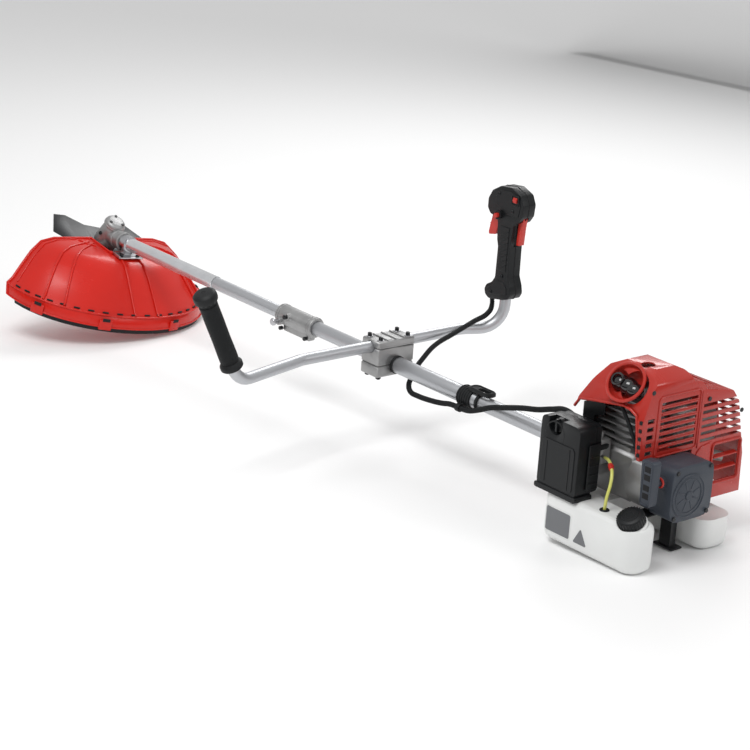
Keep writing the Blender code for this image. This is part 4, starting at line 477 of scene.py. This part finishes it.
def clamp_details():
    """Washers, screw sockets and webs on the handlebar clamp."""
    sockets, washers, webs = [], [], []
    for x in (4, 36):
        for y in (-33, 33):
            washers.append(disc(6.4, (x, y, 48.1), (x, y, 49.2), 0.3))
            sockets.append(disc(2.1, (x, y, 54.6), (x, y, 55.7), 0, 6))
            sockets.append(disc(5, (x, y, -27), (x, y, -22.2), 0.8, 6))
    piece("clamp_washers", washers, "steel")
    piece("clamp_sockets", sockets, "shadow")
    for y in (-20, 0, 20):
        webs.append(block((-3, y - 1.6, 47.4), (43, y + 1.6, 50.4), 1.2))
    webs.append(block((-4.4, -42, 34.8), (-5.8, 42, 37), 0.5))
    webs.append(block((-4.4, -42, 30), (-5.8, 42, 33.2), 0.5))
    webs.append(block((44.4, -42, 34.8), (45.8, 42, 37), 0.5))
    piece("clamp_webs", webs, "cast_aluminium")


LEFT_HAND, LEFT_TOP = Vector((62, -379, 34)), Vector((60, -456, 200))


def left_grip_details():
    """The foam sleeve, flanges and cap hole of the left grip."""
    axis = (LEFT_TOP - LEFT_HAND).normalized()
    start = LEFT_HAND + axis * (64 - LEFT_HAND.z) / axis.z
    end = (LEFT_TOP - start).length + 1.5
    place = along(start, start + axis)
    foam = turned([(15.8, 15), (17, 17), (17.2, 26), (16.6, 60), (17, 100), (16.8, end - 24),
                   (17.2, end - 17), (15.9, end - 15)],
                  place, 48)
    piece("grip_sleeve", [foam], "foam")
    flare = turned([(4, end + 7.5), (4, end + 9.6), (13, end + 9.6), (17.5, end + 8.4), (21, end + 5),
                    (21.6, end), (21.6, end - 5),
                    (20.4, end - 8.4), (16, end - 14)], place, 48)
    foot = turned([(16.2, 13), (19.6, 9.4), (20.8, 7.4), (20.8, 1), (19.4, -0.6), (12, -0.8)], place, 48)
    piece("grip_flanges", [flare, foot], "rubber")
    hole = turned([(0, end + 9.3), (3.8, end + 9.3), (4.4, end + 9.8)], place, 24)
    piece("grip_cap_hole", [hole], "shadow")


SHELL = [(60, 94), (76, 99), (82, 110), (79, 124), (71, 142), (70, 200), (75, 246), (87, 253), (96, 266),
         (98, 288),
         (89, 306), (62, 316), (32, 313), (10, 300), (0, 282), (0, 264), (8, 254), (24, 251), (31, 244),
         (33, 209),
         (37, 196), (36, 134), (28, 122), (14, 114), (9, 104), (12, 94), (22, 88), (36, 90)]


def throttle_details():
    """Panels, seam, ridges, screws and switch trim of the throttle grip."""
    seam = tube([(x, 260, z) for x, z in SHELL], 0.9, closed=True)
    piece("shell_seam", [seam], "shadow")
    panels = [plate([(40, 268), (52, 262), (86, 264), (91, 286), (84, 302), (62, 309), (34, 306),
                     (22, 292), (24, 276)],
                    244, 2.4, "XZ", 0.8)]
    panels.append(plate([(41, 150), (64, 150), (65, 196), (66, 238), (42, 238), (41, 196)], 244, 2.2,
                        "XZ", 0.8))
    panels.append(plate([(24, 98), (60, 102), (72, 108), (70, 120), (60, 130), (40, 130), (32, 118),
                         (18, 108)], 244, 2.2, "XZ", 0.8))
    piece("shell_panels", panels, "black_plastic")
    ridges = []
    for k in range(7):
        z = 158 + k * 11
        ridges.append(block((40, 242, z - 1.3), (66, 244.6, z + 1.3), 0.9,
                            Matrix.Rotation(math.radians(-28), 4, "Y")))
    for k in range(5):
        z = 150 + k * 10
        ridges.append(block((34.5, 249, z - 1.4), (38.5, 271, z + 1.4), 1.0))
    piece("grip_ridges", ridges, "black_plastic")
    screws, slots = [], []
    for x, z in ((30, 298), (70, 272), (54, 140), (28, 103)):
        screws.append(disc(3.6, (x, 244, z), (x, 241.4, z), 0.5))
        slots.append(block((x - 2.6, 241, z - 0.5), (x + 2.6, 241.7, z + 0.5), 0))
        slots.append(block((x - 0.5, 241, z - 2.6), (x + 0.5, 241.7, z + 2.6), 0))
    piece("shell_screws", screws, "black_steel")
    piece("screw_slots", slots, "shadow")
    bezel = [(x, 242.4, z) for x, z in rounded((66.6, 285.6), (85.4, 304.4), 3)]
    collar = ring(7.6, 1.4, (37, 237, 258), (0, 1, 0))
    piece("switch_rim", [tube(bezel, 1.2, closed=True), collar], "black_plastic")
    marks = [block((71.5, 239, 292.6), (80.5, 240.1, 297.4), 0.5)]
    piece("rocker_ridge", marks, "red_button", "rocker")
    grooves = [block((-1.5, 254.2, z), (1.2, 265.8, z + 1.4), 0.5,
                     Matrix.Rotation(math.radians(10), 4, "Y")) for z in (216, 221, 226, 231)]
    piece("trigger_grooves", grooves, "red_button", "trigger")


# ---------------------------------------------------------------- throttle cable, fuel hose and plug lead

CONDUIT = [(16, 260, 87.5), (21, 257, 72), (34, 236, 62), (44, 190, 54), (44, 140, 37), (44, 95, 21),
           (52, 62, 4),
           (60, 38, -10), (68, 22, -22), (82, 4, -31), (102, -8, -36), (130, -15, -34), (168, -18, -30),
           (205, -22, -23),
           (232, -25, -16), (255, -25, -15), (280, -25, -13), (305, -24, -4), (335, -24, 10),
           (370, -28, 22),
           (425, -34, 40), (475, -44, 55), (520, -54, 72), (552, -58, 82), (574, -59, 80),
           (589, -57, 72.5)]
HOSE = [(706, -100, -36.6), (707, -99, -16), (703, -88, 10), (688, -74, 26), (668, -62, 31),
        (654.6, -57, 30)]
LEAD = [(664, -44, 130), (676, -50, 124), (690, -51, 108), (700, -48, 88), (706, -44, 70), (708, -40, 56)]


def flexible(name, route, radius, finish, spacing=None):
    """A flexible line through the route, with moulded rings when they have a spacing."""
    line = tube(route, radius, smooth=True, resolution=6)
    mesh_line = line.copy()
    mesh_line.data = line.data.copy()
    mesh_line.data.bevel_depth = 0
    bpy.context.scene.collection.objects.link(mesh_line)
    path = [MACHINE @ (vert.co * 0.001) for vert in applied(mesh_line).data.vertices]
    bpy.data.objects.remove(bpy.context.view_layer.objects.active)
    length = sum((b - a).length for a, b in zip(path, path[1:]))
    obj = piece(name, [line], finish)
    rings = []
    if spacing:
        travelled, due = 0.0, spacing
        for a, b in zip(path, path[1:]):
            step = (b - a).length * 1000
            while due <= travelled + step and due < length * 1000 - spacing:
                spot = MACHINE.inverted() @ a.lerp(b, (due - travelled) / step) * 1000
                aim = MACHINE.to_3x3().inverted() @ (b - a)
                bpy.ops.mesh.primitive_torus_add(major_radius=radius, minor_radius=0.8, major_segments=18,
                                                 minor_segments=6)
                hoop = bpy.context.object
                hoop.data.transform(along(spot, spot + aim.normalized()))
                rings.append(hoop)
                due += spacing
            travelled += step
    extra = [piece(name + "_rings", rings, finish)] if rings else []
    return obj


def lines():
    """The throttle cable, the fuel hose and the ignition lead, with their fittings."""
    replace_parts(flexible("cable_conduit", CONDUIT, 4.3, "rubber", 3.4), "throttle_conduit")
    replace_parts(flexible("hose_line", HOSE, 2.8, "fuel_hose"), "fuel_hose")
    flexible("plug_lead", LEAD, 3.2, "rubber")
    fittings = [ring(6.2, 2.2, (706, -100, -36.4), (0, 0, 1)),
                disc(8.5, (706, -100, -38), (706, -100, -35.4), 0.8)]
    piece("tank_grommet", fittings, "rubber")
    joint = [disc(4.2, (690, -76, 24.4), (680, -69.5, 29), 0.6),
             disc(5, (686, -73.2, 26.4), (683.4, -71.6, 27.6), 0.4)]
    piece("hose_joint", joint, "red_button")


# ---------------------------------------------------------------- engine

def cover_details():
    """Slats, vents, trims, shield and bolts of the engine cover."""
    rear = 737.4
    trims = [tube([(rear, y, z) for y, z in rounded((-29, 52), (70, 157), 8)], 1.7, closed=True)]
    trims.append(tube([(rear, y, z) for y, z in rounded((114, -24), (184, 50), 7)], 2.4, closed=True))
    trims.append(tube([(rear, 74, 50), (rear, 74, 150)], 1.6))
    trims.append(tube([(rear, 76, -46), (rear, 76, 42), (rear, 108, 54)], 1.6, smooth=True))
    for z in (2, 24):
        trims.append(block((rear - 8, 120, z - 1.6), (rear + 1, 178, z + 1.6), 1.2,
                           Matrix.Rotation(math.radians(22), 4, "Y")))
    mouth = [(579, 100), (590, 116), (618, 122), (640, 126), (672, 132), (690, 135), (706, 133),
             (721, 126), (727, 90), (730, 58)]
    trims.append(tube([(x, -63, z) for x, z in mouth], 2.6))
    piece("cover_trim", trims, "red_cover")
    shield = [plate([(586, 44), (586, 104), (600, 118), (634, 122), (634, 96), (612, 90), (604, 44)], -47,
                    2, "XZ", 0.6)]
    shield.append(block((583, -46, 40), (586, 40, 106), 0.8))
    piece("heat_shield", shield, "black_plastic")
    vents = []
    for k in range(5):
        z = 62 + k * 14
        vents.append(block((731, -66.5, z - 3), (736.5, -60.5, z + 3), 0.8))
    piece("edge_vents", vents, "shadow")
    slats = []
    for k in range(7):
        z = 67.9 + k * 11.5
        slats.append(block((735.4, -21, z - 1.4), (738.4, 64, z + 1.4), 1.1))
    piece("grille_slats", slats, "red_cover")
    bolts = [disc(4, (737, y, z), (739.2, y, z), 0.6) for y,
             z in ((-46, 168), (92, 134), (176, 100), (100, -30))]
    piece("cover_bolts", bolts, "black_steel")


def plug_recess():
    """The bowl let into the cover and the boot that fills most of it."""
    bowl_at = along((674, -10, 138), Vector((674, -10, 138)) + Vector((0.1, -0.8, 0.6)))
    bowl = turned([(33, 53), (32, 46), (28, 38), (20, 32), (8, 30), (0, 30)], bowl_at, 48)
    piece("recess_bowl", [bowl], "red_cover")
    piece("recess_rim", [ring(34, 3, (679, -52, 170), (0.1, -0.8, 0.6), 64)], "red_cover")
    boots = []
    for x, y, z, size in ((660, -42, 161, 18), (690, -41, 156, 17), (675, -40, 159, 19)):
        bpy.ops.mesh.primitive_uv_sphere_add(segments=32, ring_count=18, radius=size)
        ball = bpy.context.object
        ball.scale = (1.05, 0.85, 0.8)
        bpy.ops.object.transform_apply(location=False, rotation=False, scale=True)
        ball.data.transform(Matrix.Translation((x, y, z)))
        boots.append(ball)
    boots.append(ring(10, 1.8, (661, -54, 171), (0.1, -0.8, 0.6)))
    piece("plug_boot", boots, "boot")


def starter_details():
    """Ribs, screws and bush of the starter, and the pull handle's pockets."""
    rings = [ring(36.5, 1.6, (795.4, 0, 0), (1, 0, 0), 64), ring(30, 1.0, (796, 0, 0), (1, 0, 0), 64),
             disc(8, (795, 0, 0), (798, 0, 0), 1.2)]
    for k in range(8):
        angle = math.radians(22.5 + 45 * k)
        spot = Vector((795.6, 19 * math.cos(angle), 19 * math.sin(angle)))
        bar = block((-1.2, -8, -1.4), (1.2, 8, 1.4), 0.9)
        bar.data.transform(Matrix.Translation(spot) @ Matrix.Rotation(angle, 4, "X"))
        rings.append(bar)
    piece("starter_ribs", rings, "grey_plastic")
    screws = [disc(4, (794.6, y, z), (797.4, y, z), 0.7) for y,
              z in ((-30, -36), (48, -36), (48, 44), (-30, 44))]
    piece("starter_screws", screws, "black_steel")
    piece("rope_bush", [ring(7.4, 2, (772, -46.6, 24), (0, 1, 0))], "red_button")
    pockets = []
    for z in (2, 16, 34, 48):
        pockets.append(block((766, -79.6, z), (779, -78.6, z + 10), 0.4))
    piece("handle_pockets", pockets, "shadow", "pull_handle")
    rims = [tube([(x, -79, z) for x, z in rounded((762.5, -9), (782, 64), 5)], 1.3, closed=True)]
    piece("handle_rim", rims, "grey_plastic", "pull_handle")


def soften(outline, radius, steps=7):
    """The outline with every corner rounded."""
    points = []
    for i, corner in enumerate(outline):
        corner = Vector(corner)
        back = (Vector(outline[i - 1]) - corner).normalized()
        ahead = (Vector(outline[(i + 1) % len(outline)]) - corner).normalized()
        half = back.angle(ahead) / 2
        centre = corner + (back + ahead).normalized() * radius / math.sin(half)
        start = corner + back * radius / math.tan(half) - centre
        stop = corner + ahead * radius / math.tan(half) - centre
        sweep = start.angle_signed(stop)
        for k in range(steps + 1):
            points.append(tuple(centre + Matrix.Rotation(-sweep * k / steps, 2) @ start))
    return points


CAP = Matrix.Translation((768, -97, -38)) @ Matrix.Rotation(math.radians(28), 4, "X")


def tank():
    """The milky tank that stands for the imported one."""
    plan = soften([(578, -122), (797, -122), (797, -58), (650, -58), (650, 62), (783, 62), (783, 138),
                   (578, 138)], 27)
    body = plate(plan, -79.25, 84.5, "XY", 13)
    bridge = block((560, -56, -54), (820, 140, 0), 0)
    lobe = block((560, 56, -66), (820, 150, 0), 0)
    room = turned([(0, 0), (25, 0), (25, 60), (0, 60)], CAP)
    body = carve(body, bridge, lobe, room)
    neck = turned([(14.5, 11), (17, 11), (17, -6), (14.5, -6)], CAP)
    shoulder = turned([(17, 0.2), (24.6, 0.2), (25.4, -1.4), (25.4, -4)], CAP)
    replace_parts(piece("tank_body", [body, neck, shoulder], "tank_plastic", angle=42), "fuel_tank")


def tank_details():
    """Plain plates, moulding and cap ribs of the tank."""
    tank()
    panel = plate(rounded((596, -104), (652, -62), 3), -122.2, 1.0, "XZ", 0.3)
    sign = plate(soften([(662, -104), (694, -104), (678, -76)], 2, 3), -122.2, 1.0, "XZ", 0.3)
    piece("tank_plates", [panel, sign], "label")
    rim = [tube([(x, -122, z) for x, z in rounded((594, -106), (654, -60), 3)], 0.6, closed=True)]
    piece("tank_moulding", rim, "tank_plastic")
    ribs = []
    for k in range(28):
        angle = math.tau * k / 28
        spot = Vector((22.6 * math.cos(angle), 22.6 * math.sin(angle), 0))
        rib = disc(1.3, spot + Vector((0, 0, 1.5)), spot + Vector((0, 0, 15.5)), 0.4, 10)
        rib.data.transform(CAP)
        ribs.append(rib)
    ribs.append(turned([(0, 18.2), (11, 18.4), (17, 18), (20.6, 16.8), (21.5, 15)], CAP))
    for radius in (7, 14):
        loop = ring(radius, 0.7, (0, 0, 18.2), (0, 0, 1))
        loop.data.transform(CAP)
        ribs.append(loop)
    piece("cap_ribs", ribs, "black_plastic", "cap")


def cleaner_details():
    """Mouldings and inlet seal of the air cleaner."""
    panels = [plate(rounded((572, -26), (648, 54), 9), -122.4, 2.0, "XZ", 0.8)]
    panels.append(plate(rounded((560.5, -39), (659.5, -29), 4), -104, 40, "XZ", 1.2))
    for x in (583, 637):
        panels.append(block((x - 0.8, -124.2, -22), (x + 0.8, -122.4, 50), 0.5))
    panels.append(block((657, -100, -20), (660.2, -74, 60), 1.4))
    for z in (-10, 6, 22, 38):
        panels.append(block((658.6, -98, z), (661.4, -76, z + 3), 0.8))
    panels.append(ring(21, 1.4, (598, -121, 66), (0, 1, 0)))
    piece("cleaner_moulding", panels, "black_plastic")
    spout = [disc(11, (612, -66, 40), (612, -60, 40), 0.8)]
    piece("inlet_seal", spout, "rubber")


def linkage():
    """Throttle linkage, cylinder bolts and crankcase fins."""
    parts = [tube([(590, -57, 72.5), (604, -55, 64), (618, -54, 58)], 0.9, smooth=True)]
    parts.append(block((600, -56, 52), (632, -54, 62), 0.6, Matrix.Rotation(math.radians(20), 4, "Y")))
    parts.append(disc(4.5, (618, -52, 58), (618, -60, 58), 0.5))
    turns = [(634 + 3 * math.cos(a * 0.9), -60 + 3 * math.sin(a * 0.9), 36 + a * 0.42) for a in range(60)]
    parts.append(tube(turns, 0.5, resolution=2))
    piece("throttle_linkage", parts, "steel")
    heads = [disc(4, (x, y, 149), (x, y, 154), 0.8, 6) for x in (626, 678) for y in (-24, 24)]
    piece("cylinder_bolts", heads, "black_steel")
    fins = [plate(rounded((706, -30), (708.4, 40), 1), z, 1.6, "XY", 0.4) for z in range(30, 60, 6)]
    piece("case_fins", fins, "cast_aluminium")


# ---------------------------------------------------------------- studio

LENS_MM = 111
FIELD_SHIFT = -0.0073


def studio():
    """Pale floor, soft lamps, dark flags out of sight, and the camera."""
    floor_mat = bpy.data.materials.new("pale floor")
    floor_mat.use_nodes = True
    base = floor_mat.node_tree.nodes["Principled BSDF"]
    base.inputs["Base Color"].default_value = (0.93, 0.93, 0.93, 1)
    base.inputs["Roughness"].default_value = 0.9
    bpy.ops.mesh.primitive_plane_add(size=60)
    floor = bpy.context.object
    floor.name = "floor"
    floor.data.materials.append(floor_mat)
    world = bpy.data.worlds.new("studio")
    world.use_nodes = True
    world.node_tree.nodes["Background"].inputs["Color"].default_value = (1, 1, 1, 1)
    world.node_tree.nodes["Background"].inputs["Strength"].default_value = 0.62
    bpy.context.scene.world = world
    for name, spot, size, power in (("key", (0.6, -1.6, 3.4), 1.6, 62),
                                    ("rim", (-1.6, 2.4, 2.4), 1.4, 34),
                                    ("side", (3.2, 1.4, 1.8), 1.0, 16)):
        lamp = bpy.data.lights.new(name, "AREA")
        lamp.energy = power
        lamp.size = size
        light = bpy.data.objects.new(name, lamp)
        bpy.context.scene.collection.objects.link(light)
        light.location = spot
        light.rotation_mode = "QUATERNION"
        light.rotation_quaternion = (Vector((0, 0, 0.2)) - Vector(spot)).to_track_quat("-Z", "Y")
    dark = bpy.data.materials.new("flag")
    dark.use_nodes = True
    dark.node_tree.nodes["Principled BSDF"].inputs["Base Color"].default_value = (0.02, 0.02, 0.02, 1)
    dark.node_tree.nodes["Principled BSDF"].inputs["Roughness"].default_value = 1
    for name, low, high in (("near flag", (-3.2, -3.6, 0.05), (1.4, -3.5, 0.9)),
                            ("end flag", (3.9, -0.6, 0.05), (4.0, 3.2, 1.0)),
                            ("far flag", (-3.0, 3.6, 0.05), (3.0, 3.7, 0.8))):
        flag = block(low, high, 0)
        flag.name = name
        flag.data.materials.append(dark)
        flag.visible_camera = False
    lens = bpy.data.cameras.new("camera")
    lens.lens = LENS_MM
    lens.shift_x = FIELD_SHIFT
    lens.sensor_width = 36
    lens.clip_end = 100
    camera = bpy.data.objects.new("camera", lens)
    bpy.context.scene.collection.objects.link(camera)
    aim = Matrix(((0.634, -0.2907, 0.7165, 3.131), (0.770, 0.1585, -0.6174, -2.695),
                  (0.066, 0.9431, 0.3243, 1.382),
                  (0, 0, 0, 1)))
    camera.matrix_world = MACHINE @ aim
    bpy.context.scene.camera = camera
    bpy.context.scene.view_settings.view_transform = "Standard"


dress_parts()
guard_details()
head_details()
tube_details()
clamp_details()
left_grip_details()
throttle_details()
lines()
cover_details()
plug_recess()
starter_details()
tank_details()
cleaner_details()
linkage()
studio()
